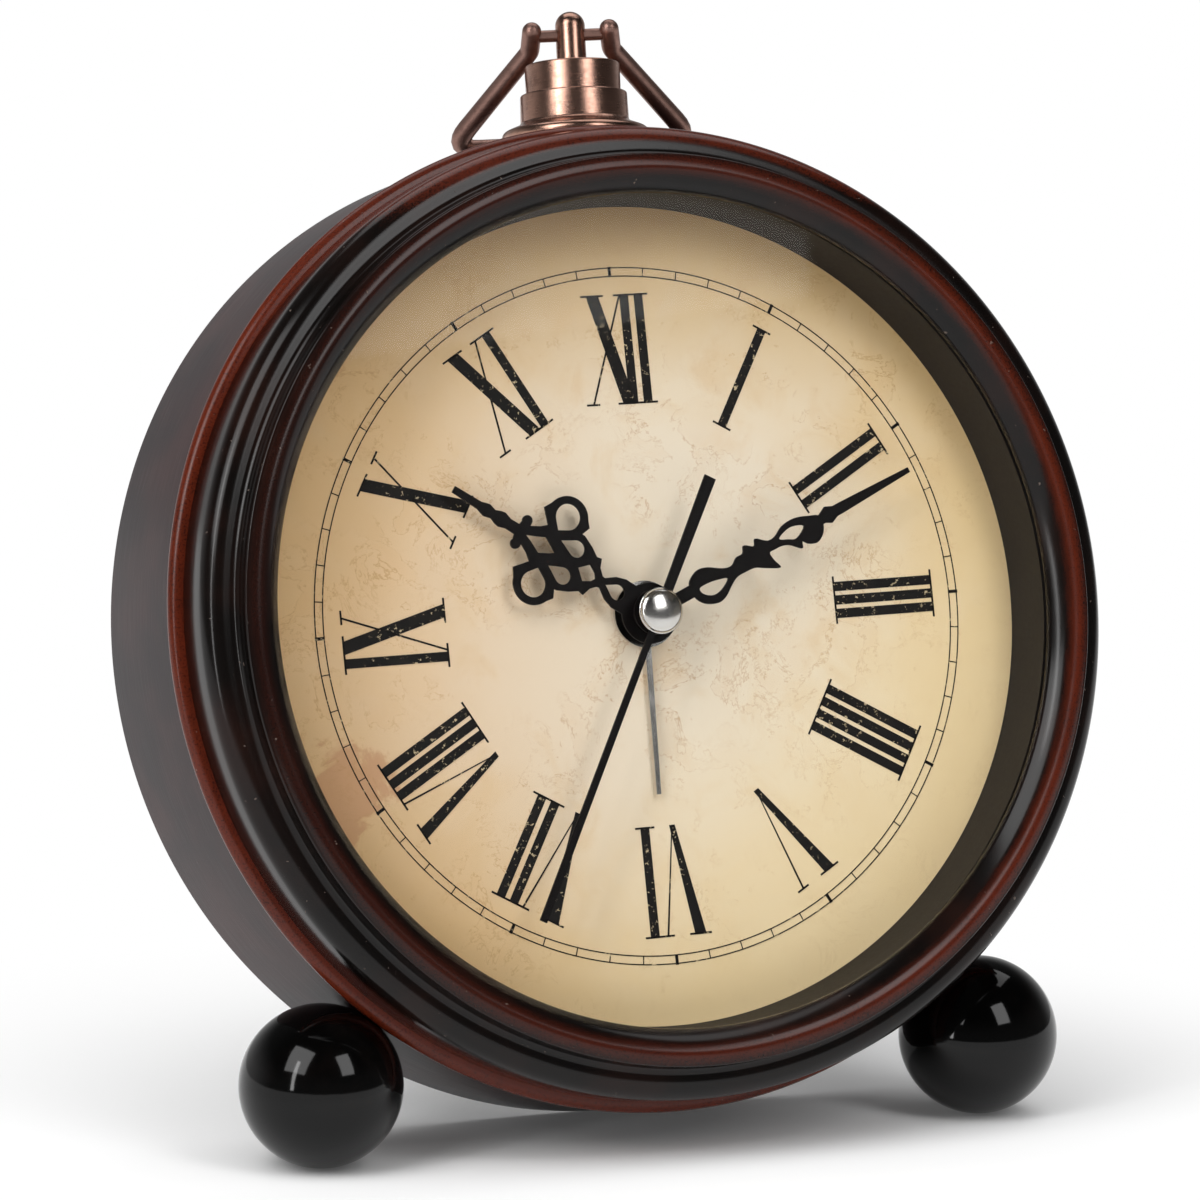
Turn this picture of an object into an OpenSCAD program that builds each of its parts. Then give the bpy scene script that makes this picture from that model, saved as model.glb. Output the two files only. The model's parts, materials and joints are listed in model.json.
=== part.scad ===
// Table alarm clock: a tin drum with a stepped bezel, on two ball feet, with a folding bail.
// The clock is drawn lying on its back: X to the right, Y towards twelve, Z out of the dial.
// The dial's printed face is Z = 0. stand() then tilts the clock up onto its feet and rear edge.

/* [Drum] */
// Outside radius of the drum
drum_r = 64.6; // [63:0.1:70]
// Depth of the drum behind the dial
drum_back = 27; // [27:0.5:36]
// Sheet thickness of the drum
drum_wall = 0.8; // [0.5:0.1:1]
// Width of the lip turned in at the drum's rear edge
drum_lip = 2.4; // [1.5:0.1:4]
// Radius of the drum's rear edge
edge_round = 0.6; // [0.3:0.1:0.7]
// Distance of the drum's front edge behind the dial
drum_front = 3.1; // [2.6:0.1:3.6]

/* [Bezel] */
// How far the worn rim bead stands out of the drum
rim_out = 0.6; // [0.2:0.1:1.5]
// Radius of the rim bead
bead_r = 1.25; // [0.8:0.05:1.4]
// How far the bezel's side sits inside the drum's outside
band_in = 0.9; // [0.5:0.1:1.2]
// Height of the bezel's shoulder above the dial
band_h = 8.6; // [8.2:0.1:11]
// Radius of the bezel's shoulder
shoulder_r = 2.6; // [1:0.1:3]
// Width of the step from the side to the crown
step_w = 3.7; // [3:0.1:4.2]
// Radius of the hollow between the step and the crown
cove_r = 1.1; // [0.5:0.05:1.1]
// Height of the crown's edge above the dial
crown_h = 11.9; // [11.2:0.1:14]
// Width of the crown, from its edge to the lip
crown_w = 4.8; // [4.4:0.1:5.4]
// Wall of the bezel
bezel_wall = 1.5; // [1.2:0.1:1.8]
// Length of the skirt that slides into the drum
skirt_l = 9.5; // [9:0.5:12]

/* [Glass and dial] */
// Thickness of the glass
glass_t = 1.6; // [1:0.1:2]
// How far the glass runs under the lip
glass_lap = 1.2; // [0.8:0.1:1.4]
// Height of the glass's front above the dial
glass_h = 9.4; // [9.2:0.1:10]
// Thickness of the dial plate
dial_t = 0.8; // [0.5:0.1:1]
// How far the spacer ring narrows the dial
spacer_in = 1.2; // [0.6:0.1:3]
// Thickness of the ring that clamps the dial
clamp_t = 2; // [1.5:0.1:2.4]

/* [Feet and handle] */
// Radius of a ball foot
ball_r = 10.65; // [10:0.05:12]
// Depth of the ball's seat on the drum
ball_seat = 0.3; // [0.2:0.05:0.5]
// Angle of each foot from the bottom
foot_angle = 39; // [36:0.5:41]
// Distance of the feet behind the dial
foot_back = 6.5; // [6.2:0.1:7]
// Radius of the foot screws
foot_screw_r = 1.5; // [1:0.1:2]
// Distance of the handle behind the dial
handle_back = 14.5; // [13.5:0.5:16]
// Angle of the handle from twelve, clockwise
handle_turn = 1.5; // [-5:0.5:5]
// Turn of the eye about the handle's own axis
eye_turn = 20; // [-45:1:45]
// Radius of the handle's flange
flange_r = 9.9; // [8.5:0.1:10.5]
// Height of the flange above the drum
flange_t = 2.9; // [2.4:0.1:4]
// Radius of the lower turned step
step_low_r = 7.15; // [6.8:0.05:8]
// Radius of the upper turned step
step_top_r = 6.4; // [5.5:0.05:6.6]
// Height of each turned step
turn_h = 3.95; // [3:0.05:5]
// Radius of the domed eye
eye_r = 2; // [1.8:0.05:2.4]
// Height of the eye above the turned steps
eye_h = 7.2; // [6:0.1:9]
// Radius of the bail's cross wire
pin_r = 0.85; // [0.6:0.05:1]
// Radius of the bail's arms
arm_r = 1.15; // [0.9:0.05:1.4]
// Distance between the bail's ears
ear_gap = 10.4; // [10.2:0.1:12]
// Distance between the bail's lower corners
bail_w = 32.4; // [28:0.1:34]
// Length of the bail below its cross wire
bail_l = 17.3; // [16:0.1:20]

/* [Hands] */
// Angle of the hour hand, clockwise from twelve
hour_angle = 303.3; // [0:0.1:360]
// Angle of the minute hand
minute_angle = 65.6; // [0:0.1:360]
// Angle of the second hand
second_angle = 206.5; // [0:0.1:360]
// Angle of the alarm hand
alarm_angle = 180; // [0:0.1:360]
// Length of the hour hand
hour_l = 31.5; // [26:0.1:36]
// Length of the minute hand
minute_l = 42; // [36:0.1:48]
// Length of the second hand
second_l = 44; // [36:0.1:48]
// Length of the second hand's tail
second_tail = 19.3; // [10:0.1:24]
// Length of the alarm hand
alarm_l = 23.7; // [16:0.1:30]
// Thickness of the hands
hand_t = 0.35; // [0.2:0.05:0.5]
// Radius of the domed cap on the second hand
cap_r = 3.05; // [2.4:0.05:3.6]

/* [Movement] */
// Half the width of the square movement
move_w = 28; // [28:0.5:32]
// Thickness of the movement's plates
plate_t = 1.2; // [1:0.1:1.5]
// Radius of the setting shafts
set_r = 1.2; // [1:0.05:1.4]
// Radius of the setting knobs
knob_r = 6.5; // [5:0.1:8]
// Height of the setting knobs
knob_h = 5; // [3:0.1:8]
// Module of the motion-work teeth
motion_m = 0.5; // [0.5:0.005:0.52]
// Module of the going-train teeth
going_m = 0.3; // [0.29:0.005:0.31]
// Module of the alarm-setting teeth
alarm_m = 0.4; // [0.39:0.005:0.41]

/* [Rear cover] */
// Thickness of the rear cover
cover_t = 1.8; // [1.4:0.1:2.4]
// Radius of the battery
cell_r = 7.1; // [6.8:0.05:7.25]
// Length of the battery's can
cell_l = 49; // [48:0.1:50]
// Gap between the movement and the battery bay
bay_gap = 2.4; // [1.5:0.1:3.4]
// Travel of the alarm switch
switch_travel = 4; // [2:0.1:5]

/* [Hidden] */
$fn = 96;

// Clearances
run = 0.05;
fit = 0.1;
tiny = 0.01;

// Radii of the case from the drum inwards
drum_in = drum_r - drum_wall;
rim_r = drum_r + rim_out;
band_r = drum_r - band_in;
crown_r = band_r - step_w;
lip_r = crown_r - crown_w;
glass_r = lip_r + glass_lap;
skirt_r = drum_in - run;
skirt_in = skirt_r - bezel_wall;
dial_r = skirt_in - 2 * fit;
seat_r = glass_r + fit + bezel_wall;
screw_ring_r = (seat_r + skirt_in) / 2;
clamp_screws = 4;
clamp_turn = 45;
clamp_screw_r = 0.75;
clamp_boss_r = (skirt_in - seat_r) / 2 - 2 * fit;
spacer_top = glass_h - glass_t;

// Feet and tilt: the rear edge and both balls touch the ground
ball_d = drum_r + ball_r - ball_seat;
ball_y = -ball_d * cos(foot_angle);
ball_x = ball_d * sin(foot_angle);
lean_a = -ball_y - (drum_r - edge_round);
lean_b = drum_back - edge_round - foot_back;
tilt = atan2(lean_a, lean_b) + asin((ball_r - edge_round) / norm([lean_a, lean_b]));
ground = ball_y * cos(tilt) - foot_back * sin(tilt) - ball_r;

// Handle, upwards from the drum
flange_y = drum_r + flange_t;
steps_y = flange_y + 2 * turn_h;
eye_top = 3.2;
pivot_y = steps_y + eye_h - eye_top;
handle_screw_r = 1.9;
head_sink = 0.2;
ear_x = ear_gap / 2;
corner_x = bail_w / 2;
bail_gap = 0.3;
bail_rest = asin((flange_r + arm_r + bail_gap) / bail_l);

// Front and rear reach of the standing clock, to centre it over its origin
front_reach = max([for (p = bezel_profile()) p.y * cos(tilt) + p.x * sin(tilt)]);
edge_reach = (drum_back - edge_round) * cos(tilt) + (drum_r - edge_round) * sin(tilt) + edge_round;
bail_ends = [for (s = [-1, 1]) on_handle([s * corner_x, pivot_y - bail_l * cos(bail_rest),
  -bail_l * sin(bail_rest)])];
bail_reach = max([for (p = bail_ends) p.y * sin(tilt) - p.z * cos(tilt)]) + arm_r * 1.03;
centre_shift = (front_reach - max(edge_reach, bail_reach)) / 2;

// Depths of the movement, each the front face of a layer
dial_z = -dial_t;
gap_z = 0.6;
wheel_t = 1;
thin_t = 0.7;
front_z = -3;
alarm_z = front_z - plate_t - gap_z;
hour_z = alarm_z - wheel_t - gap_z;
motion_z = hour_z - wheel_t - gap_z;
middle_z = motion_z - wheel_t - gap_z;
centre_z = middle_z - plate_t - gap_z;
third_z = centre_z - thin_t - gap_z;
second_z = third_z - thin_t - gap_z;
fifth_z = second_z - thin_t - gap_z;
back_z = fifth_z - thin_t - gap_z;
pivot_l = plate_t - 0.3;
pivot_r = 0.5;
arbor_r = 0.6;

// Tubes on the centre line, from outside in
bush_r = 4;
alarm_tube_r = 3.05;
hour_tube_r = 2.4;
minute_tube_r = 1.7;
second_shaft_r = 0.8;
bush_top = 0.1;
alarm_hand_z = 0.9;
alarm_hub_r = alarm_tube_r + 1.35;
hour_hand_z = 2.4;
minute_hand_z = 4.3;
second_hand_z = 5.8;
cap_h = 1.4;

// Tooth counts
alarm_n = 48;
alarm_set_n = 16;
cannon_n = 12;
minute_n = 36;
minute_pin_n = 10;
hour_n = 40;
set_n = 12;
centre_n = 64;
third_pin_n = 8;
third_n = 60;
second_pin_n = 8;
second_n = 60;
fifth_pin_n = 8;
fifth_n = 32;
rotor_pin_n = 8;

// Centre distances; paired meshes on one arbor share a distance
motion_d = motion_m * (cannon_n + minute_n) / 2;
hour_m = 2 * motion_d / (minute_pin_n + hour_n);
set_d = motion_m * (minute_n + set_n) / 2;
third_d = going_m * (second_pin_n + third_n) / 2;
centre_m = 2 * third_d / (third_pin_n + centre_n);
fifth_d = going_m * (fifth_pin_n + second_n) / 2;
rotor_d = going_m * (rotor_pin_n + fifth_n) / 2;
alarm_d = alarm_m * (alarm_n + alarm_set_n) / 2;

// Directions of the arbors from the centre, and their places
motion_dir = 225;
alarm_dir = 315;
third_dir = 120;
fifth_dir = 20;
minute_at = polar(motion_d, motion_dir);
set_at = polar(motion_d + set_d, motion_dir);
alarm_at = polar(alarm_d, alarm_dir);
third_at = polar(third_d, third_dir);
fifth_at = polar(fifth_d, fifth_dir);
rotor_at = polar(fifth_d + rotor_d, fifth_dir);
magnet_r = 2.3;

// Turns that bring the teeth into mesh
minute_turn = mesh(motion_dir, 0, cannon_n, minute_n);
minute_pin_turn = 0;
hour_turn = mesh(motion_dir + 180, minute_pin_turn, minute_pin_n, hour_n);
set_turn = mesh(motion_dir, minute_turn, minute_n, set_n);
alarm_set_turn = mesh(alarm_dir, 0, alarm_n, alarm_set_n);
third_pin_turn = mesh(third_dir, 0, centre_n, third_pin_n);
third_turn = mesh(third_dir, 0, second_pin_n, third_n);
fifth_pin_turn = mesh(fifth_dir, 0, second_n, fifth_pin_n);
rotor_turn = mesh(fifth_dir, 0, fifth_n, rotor_pin_n);

// Movement pillars, screws and board
pillar_r = 2.2;
wall_t = 1.2;
move_screw_r = 1;
move_bite = 3;
ear_r = 3.2;
ear_at = [for (sx = [-1, 1], sy = [-1, 1]) [sx * (move_w + 2.2), sy * 18]];
board_t = 1;
board_z = third_z + 0.2;
board_gap = 1;
third_top = third_at.y + going_m * (third_n / 2 + 1);
board_w = 42;
board_d = min(6.4, move_w - wall_t - 2 * board_gap - third_top);
board_at = [-move_w + wall_t + board_gap, move_w - wall_t - board_gap - board_d];
chip_r = min(2.6, board_d / 2);

// Pillars stand clear of the walls, the setting pinion, the board and the stator
pillar_gap = 1.4;
pillar_x = 14.5;
pillar_side = -move_w + wall_t + pillar_r + 0.2;
pillar_low = -move_w + wall_t + pillar_r + 1.6;
pillar_high = board_at.y - pillar_gap - pillar_r;
pillar_at = [[pillar_side, -9], [pillar_x, pillar_low], [pillar_side, pillar_high], [pillar_x, pillar_high]];

// Stator plate round the rotor, with the coil in its window
stator_x = fifth_at.x + pivot_r + 1.3;
stator_x1 = move_w - wall_t - 0.2;
stator_y0 = -17;
stator_y1 = pillar_high - pillar_r - pillar_gap;
stator_arm = 3.5;
stator_web = 0.6;
stator_t = 0.8;
stator_z = third_z;
rotor_gap = 0.4;
coil_gap = 0.15;
coil_room = stator_x1 - rotor_at.x - magnet_r - rotor_gap - stator_web - 2 * coil_gap;
coil_r = min(3, coil_room / 2);
coil_x = stator_x1 - coil_r - coil_gap;
coil_l = stator_y1 - stator_y0 - 2 * stator_arm;

// Rear cover
cover_back = -drum_back + drum_wall;
cover_front = cover_back + cover_t;
cover_r = drum_in - fit;
tab_angles = [20, 160, 200, 340];
tab_w = 8;
tab_l = 7;
tab_t = 1.2;
cover_screw_r = 1.25;
tab_hole_d = drum_in - tab_l / 2 - 1;
knob_z = cover_back - 0.5;
shaft_back = knob_z - knob_h + 1;
bay_wall = 1.2;
cell_gap = 0.3;
door_t = 1.4;
door_lap = 1.5;
bay_x = cell_l / 2 + 4;
bay_y = cell_r + cell_gap;
cell_down = move_w + bay_gap + bay_wall + bay_y;
cell_z = cover_back + door_t + cell_gap + cell_r;
bay_front = cell_z + cell_r + cell_gap;
contact_w = 10;
contact_h = 9;
spring_r = 4;
spring_tip_r = 2.4;
switch_at = [20, 22];
switch_w = 4;
switch_l = 5;
buzzer_at = [0, 44];
buzzer_r = 12;
buzzer_t = 1;

// Two leads run from the bay's ends up beside the movement to the circuit board
lead_r = 0.6;
lead_z = bay_front + bay_wall + 2 * lead_r;
lead_x = move_w + ear_r + 3;
lead_hole = [bay_x - 2, -cell_down + bay_y - 1.5];

function polar(r, a) = [r * cos(a), r * sin(a)];

// A point given in the handle's own frame, after the eye's turn and the handle's place on the drum
function on_handle(p) = [
  (p.x * cos(eye_turn) - p.z * sin(eye_turn)) * cos(handle_turn) + p.y * sin(handle_turn),
  p.y * cos(handle_turn) - (p.x * cos(eye_turn) - p.z * sin(eye_turn)) * sin(handle_turn),
  p.x * sin(eye_turn) + p.z * cos(eye_turn) - handle_back
];

function arc(c, r, a0, a1, n = 8) = [for (i = [0 : n]) c + polar(r, a0 + (a1 - a0) * i / n)];

// A closed curve through the points, with n steps from one to the next
function smooth(p, n = 5) = [
  for (i = [0 : len(p) - 1], k = [0 : n - 1])
    spline(p[(i + len(p) - 1) % len(p)], p[i], p[(i + 1) % len(p)], p[(i + 2) % len(p)], k / n)
];

function spline(a, b, c, d, t) =
  (2 * b + (c - a) * t + (2 * a - 5 * b + 4 * c - d) * t * t + (3 * b - a - 3 * c + d) * t * t * t) / 2;

// Gear outline: straight-sided teeth, thinned for backlash, one tooth centred on angle a
function gear_points(n, m, a = 0) = [
  for (i = [0 : n - 1], q = [[-0.27, -1.1], [-0.12, 0.75], [0.12, 0.75], [0.27, -1.1]])
    polar(m * (n / 2 + q.y), a + (i + q.x) * 360 / n)
];

// Turn of a gear of nb teeth that meshes with one of na teeth, turned a, in direction dir
function mesh(dir, a, na, nb) = dir + 180 - 180 / nb + (dir - a) * na / nb;

// Bezel section from the skirt round the outside to the lip, then back along the inside
function bezel_profile() = concat(
  [[skirt_r, -skirt_l], [skirt_r, -drum_front]],
  arc([rim_r - bead_r, bead_r - drum_front], bead_r, -90, 90, 12),
  [[band_r - 0.5, 2 * bead_r - drum_front + 0.15], [band_r, 2 * bead_r - drum_front + 0.5]],
  arc([band_r - shoulder_r, band_h - shoulder_r], shoulder_r, 0, 90, 10),
  arc([crown_r + cove_r, band_h + cove_r], cove_r, 270, 180, 8),
  arc([crown_r - 0.5, crown_h - 0.5], 0.5, 0, 90, 5),
  arc([crown_r - crown_w * 0.44, crown_h - 0.45], 0.95, 30, 150, 8),
  [[lip_r + 1.3, crown_h - 0.8], [lip_r + 0.5, glass_h + 1.2], [lip_r, glass_h + 0.75]],
  [[lip_r, glass_h], [glass_r + fit, glass_h], [glass_r + fit, 0], [seat_r, 0]],
  [[seat_r, band_h - 2], [skirt_in, band_h - 2], [skirt_in, -skirt_l]]
);

// Lays the finished clock on its feet, centred over the origin
module stand() {
  translate([0, centre_shift, -ground]) rotate([90 - tilt, 0, 0]) children();
}

// A disc or ring from z down by t
module layer(z, t) {
  translate([0, 0, z - t]) linear_extrude(t) children();
}

module at(p) {
  translate([p.x, p.y, 0]) children();
}

// A wire through the points, with a ball at each bend
module wire(points, r) {
  for (i = [0 : len(points) - 2]) {
    d = points[i + 1] - points[i];
    translate(points[i]) rotate([0, acos(d.z / norm(d)), atan2(d.y, d.x)]) cylinder(r = r, h = norm(d));
    if (i > 0) translate(points[i]) sphere(r * 1.03);
  }
}

// A toothed wheel, its front face at z, with round openings where the web is wide
module wheel(n, m, z, t, a, holes = 0) {
  layer(z, t) difference() {
    polygon(gear_points(n, m, a));
    for (i = [1 : 1 : holes])
      rotate(i * 360 / holes) translate([n * m * 0.29, 0]) circle(n * m * 0.1);
  }
}

// An arbor between two plates: a thick part from z0 down to z1, with a pivot on each end
module arbor(z0, z1, r = arbor_r) {
  translate([0, 0, z1]) cylinder(r = r, h = z0 - z1);
  translate([0, 0, z1 - pivot_l]) cylinder(r = pivot_r, h = z0 - z1 + 2 * pivot_l);
}

// Screw along -Z with its head on z = 0 and its shank below
module screw(r, l, head_r, head_h, slot_w = 0.5) {
  translate([0, 0, -l]) cylinder(r = r, h = l);
  difference() {
    cylinder(r = head_r, h = head_h);
    for (a = [0, 90])
      rotate(a) translate([-slot_w / 2, -head_r * 0.6, head_h / 2]) cube([slot_w, head_r * 1.2, head_h]);
  }
}

// Points outwards from the drum at the angle a from three o'clock, at the depth z
module outward(a, z) {
  translate([0, 0, z]) rotate([0, 0, a]) rotate([0, 90, 0]) children();
}

module drum_body() {
  rotate_extrude() polygon(concat(
    [[drum_in, -drum_front], [drum_r, -drum_front]],
    arc([drum_r - edge_round, edge_round - drum_back], edge_round, 0, -90, 6),
    [[drum_r - drum_lip, -drum_back], [drum_r - drum_lip, cover_back], [drum_in, cover_back]]
  ));
}

// Bracket inside the drum that takes one rear cover screw
module cover_tab() {
  difference() {
    intersection() {
      union() {
        translate([drum_in - tab_l, -tab_w / 2, cover_front]) cube([tab_l + drum_wall / 2, tab_w, tab_t]);
        translate([drum_in - tab_t, -tab_w / 2, cover_front]) cube([tab_t + drum_wall / 2, tab_w, tab_l]);
      }
      translate([0, 0, cover_front]) cylinder(r = drum_in + drum_wall / 2, h = tab_l);
    }
    translate([tab_hole_d, 0, cover_front - 1]) cylinder(r = cover_screw_r, h = tab_t + 2);
  }
}

module case_drum() {
  color([0.1, 0.08, 0.08]) stand() difference() {
    union() {
      drum_body();
      for (a = tab_angles) rotate(a) cover_tab();
    }
    for (s = [-1, 1])
      outward(270 + s * foot_angle, -foot_back) cylinder(r = foot_screw_r + run, h = drum_r + 5);
    outward(90 - handle_turn, -handle_back) cylinder(r = handle_screw_r + run, h = drum_r + 5);
  }
}

module bezel() {
  color([0.16, 0.07, 0.05]) stand() difference() {
    union() {
      rotate_extrude() polygon(bezel_profile());
      for (i = [0 : clamp_screws - 1])
        rotate(clamp_turn + i * 360 / clamp_screws) translate([screw_ring_r, 0, 0])
          cylinder(r = clamp_boss_r, h = band_h - 2 + tiny);
    }
    for (i = [0 : clamp_screws - 1])
      rotate(clamp_turn + i * 360 / clamp_screws) translate([screw_ring_r, 0, -1])
        cylinder(r = clamp_screw_r + run, h = band_h - 3);
    for (s = [-1, 1])
      outward(270 + s * foot_angle, -foot_back) cylinder(r = foot_screw_r + run, h = drum_r + 5);
  }
}

module glass_lens() {
  color([0.85, 0.9, 0.9, 0.3]) stand() layer(glass_h, glass_t) circle(glass_r);
}

module spacer_ring() {
  color([0.12, 0.11, 0.11]) stand() rotate_extrude() polygon([
    [lip_r - spacer_in, 0], [lip_r - 0.3, spacer_top], [glass_r, spacer_top], [glass_r, 0]
  ]);
}

module clamp_holes(r) {
  for (i = [0 : clamp_screws - 1])
    rotate(clamp_turn + i * 360 / clamp_screws) translate([screw_ring_r, 0]) circle(r);
}

module dial_plate() {
  color([0.86, 0.74, 0.53]) stand() layer(0, dial_t) difference() {
    circle(dial_r);
    circle(bush_r + fit);
    clamp_holes(clamp_screw_r + run);
  }
}

module dial_clamp_ring() {
  color([0.15, 0.15, 0.15]) stand() layer(dial_z, clamp_t) difference() {
    circle(dial_r);
    circle(glass_r);
    clamp_holes(clamp_screw_r + run);
  }
}

module dial_clamp_screws() {
  color("silver") stand() for (i = [0 : clamp_screws - 1])
    rotate(clamp_turn + i * 360 / clamp_screws) translate([screw_ring_r, 0, dial_z - clamp_t])
      rotate([180, 0, 0]) screw(clamp_screw_r, dial_t + clamp_t + band_h - 5, 1.5, 0.9);
}

module ball_foot(side) {
  color([0.03, 0.03, 0.03]) stand() difference() {
    translate([side * ball_x, ball_y, -foot_back]) sphere(ball_r);
    translate([0, 0, -drum_back]) cylinder(r = drum_r, h = drum_back + crown_h);
    translate([0, 0, -drum_front - fit]) cylinder(r = rim_r + fit, h = drum_front + crown_h);
    outward(270 + side * foot_angle, -foot_back) cylinder(r = foot_screw_r + run, h = ball_d + 0.2);
  }
}

module ball_foot_left() {
  ball_foot(-1);
}

module ball_foot_right() {
  ball_foot(1);
}

module foot_screws() {
  color("silver") stand() for (s = [-1, 1])
    outward(270 + s * foot_angle, -foot_back) translate([0, 0, skirt_in - head_sink]) rotate([180, 0, 0])
      screw(foot_screw_r, ball_d - skirt_in, 2.4, 1.5);
}

// The handle's own frame: Y along its axis, X along the bail's cross wire
module handle_frame() {
  translate([0, 0, -handle_back]) rotate([0, 0, -handle_turn]) rotate([0, -eye_turn, 0]) children();
}

// Turned pieces of the handle stand about its axis
module on_top() {
  handle_frame() rotate([-90, 0, 0]) children();
}

module handle_flange() {
  lip_r = 0.95;
  foot_r = flange_r - 2;
  color([0.42, 0.25, 0.19]) stand() difference() {
    on_top() rotate_extrude() polygon(concat(
      [[handle_screw_r + run, drum_r - 2], [foot_r, drum_r - 2], [foot_r, drum_r + 0.15]],
      arc([flange_r - lip_r, drum_r + 0.15 + lip_r], lip_r, -90, 50, 8),
      [[step_low_r + 0.9, flange_y - 0.45], [step_low_r, flange_y], [handle_screw_r + run, flange_y]]
    ));
    translate([0, 0, -drum_back - 1]) cylinder(r = drum_r, h = drum_back + 2);
  }
}

module handle_post() {
  color([0.5, 0.3, 0.22]) stand() difference() {
    on_top() rotate_extrude() polygon(concat(
      [[0, flange_y], [step_low_r + 0.15, flange_y], [step_low_r, flange_y + turn_h - 0.3]],
      [[step_low_r - 0.3, flange_y + turn_h], [step_top_r, flange_y + turn_h]],
      [[step_top_r, steps_y - 0.3], [step_top_r - 0.3, steps_y], [eye_r, steps_y]],
      [for (i = [0 : 8]) [eye_r * cos(i * 11.25), steps_y + eye_h - eye_r + eye_r * sin(i * 11.25)]]
    ));
    handle_frame() translate([-2 * eye_r, pivot_y, 0]) rotate([0, 90, 0])
      cylinder(r = pin_r + run, h = 4 * eye_r);
    on_top() translate([0, 0, flange_y - 1]) cylinder(r = handle_screw_r + run, h = turn_h + 1);
  }
}

module handle_screw() {
  color("silver") stand() on_top() translate([0, 0, drum_in - head_sink]) rotate([180, 0, 0])
    screw(handle_screw_r, flange_t + drum_wall + turn_h - 0.5, 3.6, 2.2);
}

// The bail in its own plane: cross wire along X at the origin, arms running down to the lower bar
module bail_loop() {
  $fn = 32;
  translate([-ear_x, 0, 0]) rotate([0, 90, 0]) cylinder(r = pin_r, h = ear_gap);
  for (s = [-1, 1]) translate([s * ear_x, 0, 0]) sphere(arm_r * 1.03);
  wire([[-ear_x, 0, 0], [-corner_x, -bail_l, 0], [corner_x, -bail_l, 0], [ear_x, 0, 0]], arm_r);
}

module bail() {
  color([0.36, 0.2, 0.16]) stand() handle_frame() translate([0, pivot_y, 0]) rotate([bail_rest, 0, 0])
    bail_loop();
}

module dial_pillars() {
  color("goldenrod") stand() for (p = ear_at)
    at(p) translate([0, 0, front_z]) difference() {
      cylinder(r = pillar_r, h = dial_z - front_z);
      translate([0, 0, -tiny]) cylinder(r = move_screw_r + run, h = dial_z - front_z - 0.4);
    }
}

// Square outline of the movement, grown by g
module move_square(g = 0) {
  square(2 * (move_w + g), center = true);
}

module movement_front_plate() {
  color([0.85, 0.85, 0.82]) stand() difference() {
    union() {
      layer(front_z, plate_t) {
        move_square();
        for (p = ear_at) translate(p) circle(ear_r);
      }
      layer(front_z, front_z - back_z) difference() {
        move_square();
        move_square(-wall_t);
      }
      layer(bush_top, bush_top - front_z) circle(bush_r);
      for (p = pillar_at) at(p) layer(front_z, front_z - middle_z) circle(pillar_r);
      for (x = [board_at.x + 4, board_at.x + board_w - 4])
        at([x, board_at.y + board_d / 2]) layer(front_z, front_z - board_z) circle(1.5);
    }
    translate([0, 0, back_z]) cylinder(r = alarm_tube_r + run, h = 30);
    for (p = ear_at) at(p) translate([0, 0, front_z - 5]) cylinder(r = move_screw_r + run, h = 6);
    for (p = pillar_at)
      at(p) translate([0, 0, middle_z - 1]) cylinder(r = move_screw_r + run, h = move_bite + 1.5);
    for (p = [minute_at, set_at, alarm_at])
      at(p) translate([0, 0, front_z - plate_t - 1]) cylinder(r = pivot_r + run, h = plate_t + 0.8);
  }
}

module movement_middle_plate() {
  color([0.8, 0.8, 0.78]) stand() difference() {
    union() {
      layer(middle_z, plate_t) difference() {
        translate([-move_w + wall_t + fit, -move_w + wall_t + fit])
          square([pillar_x + pillar_r + move_w - wall_t, pillar_high + pillar_r + move_w - wall_t]);
        circle(minute_tube_r + run);
        for (p = [set_at, alarm_at]) translate(p) circle(set_r + run);
        for (p = [minute_at, third_at, fifth_at, rotor_at]) translate(p) circle(pivot_r + run);
      }
      for (p = pillar_at) at(p) layer(middle_z, middle_z - back_z) circle(pillar_r);
      for (y = [stator_y0 + 2, stator_y1 - 2])
        at([stator_x + 2, y]) layer(middle_z, middle_z - stator_z) circle(1.5);
    }
    for (p = pillar_at)
      at(p) translate([0, 0, back_z - 1]) cylinder(r = move_screw_r + run, h = middle_z - back_z + 2);
  }
}

module movement_back_plate() {
  color([0.85, 0.85, 0.82]) stand() difference() {
    layer(back_z, plate_t) move_square();
    for (p = pillar_at)
      at(p) translate([0, 0, back_z - plate_t - 1]) cylinder(r = move_screw_r + run, h = plate_t + 2);
    for (p = [set_at, alarm_at])
      at(p) translate([0, 0, back_z - plate_t - 1]) cylinder(r = set_r + run, h = plate_t + 2);
    for (p = [[0, 0], third_at, fifth_at, rotor_at])
      at(p) translate([0, 0, back_z - plate_t - 1]) cylinder(r = pivot_r + run, h = plate_t + 2);
  }
}

module movement_fixing_screws() {
  color("silver") stand() for (p = ear_at)
    at(p) translate([0, 0, front_z - plate_t]) rotate([180, 0, 0])
      screw(move_screw_r, plate_t + 1.6, 1.8, 1.1);
}

module movement_screws() {
  color("silver") stand() for (p = pillar_at)
    at(p) translate([0, 0, back_z - plate_t]) rotate([180, 0, 0])
      screw(move_screw_r, middle_z - back_z + plate_t + move_bite, 1.8, 1.1);
}

// Cutter for a bore through a wheel, its front face at z
module bore(r, z, t) {
  translate([0, 0, z - t - 1]) cylinder(r = r, h = t + 2);
}

// A tube on the centre line
module tube(top, bottom, r, bore) {
  translate([0, 0, bottom]) difference() {
    cylinder(r = r, h = top - bottom);
    translate([0, 0, -1]) cylinder(r = bore, h = top - bottom + 2);
  }
}

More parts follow.
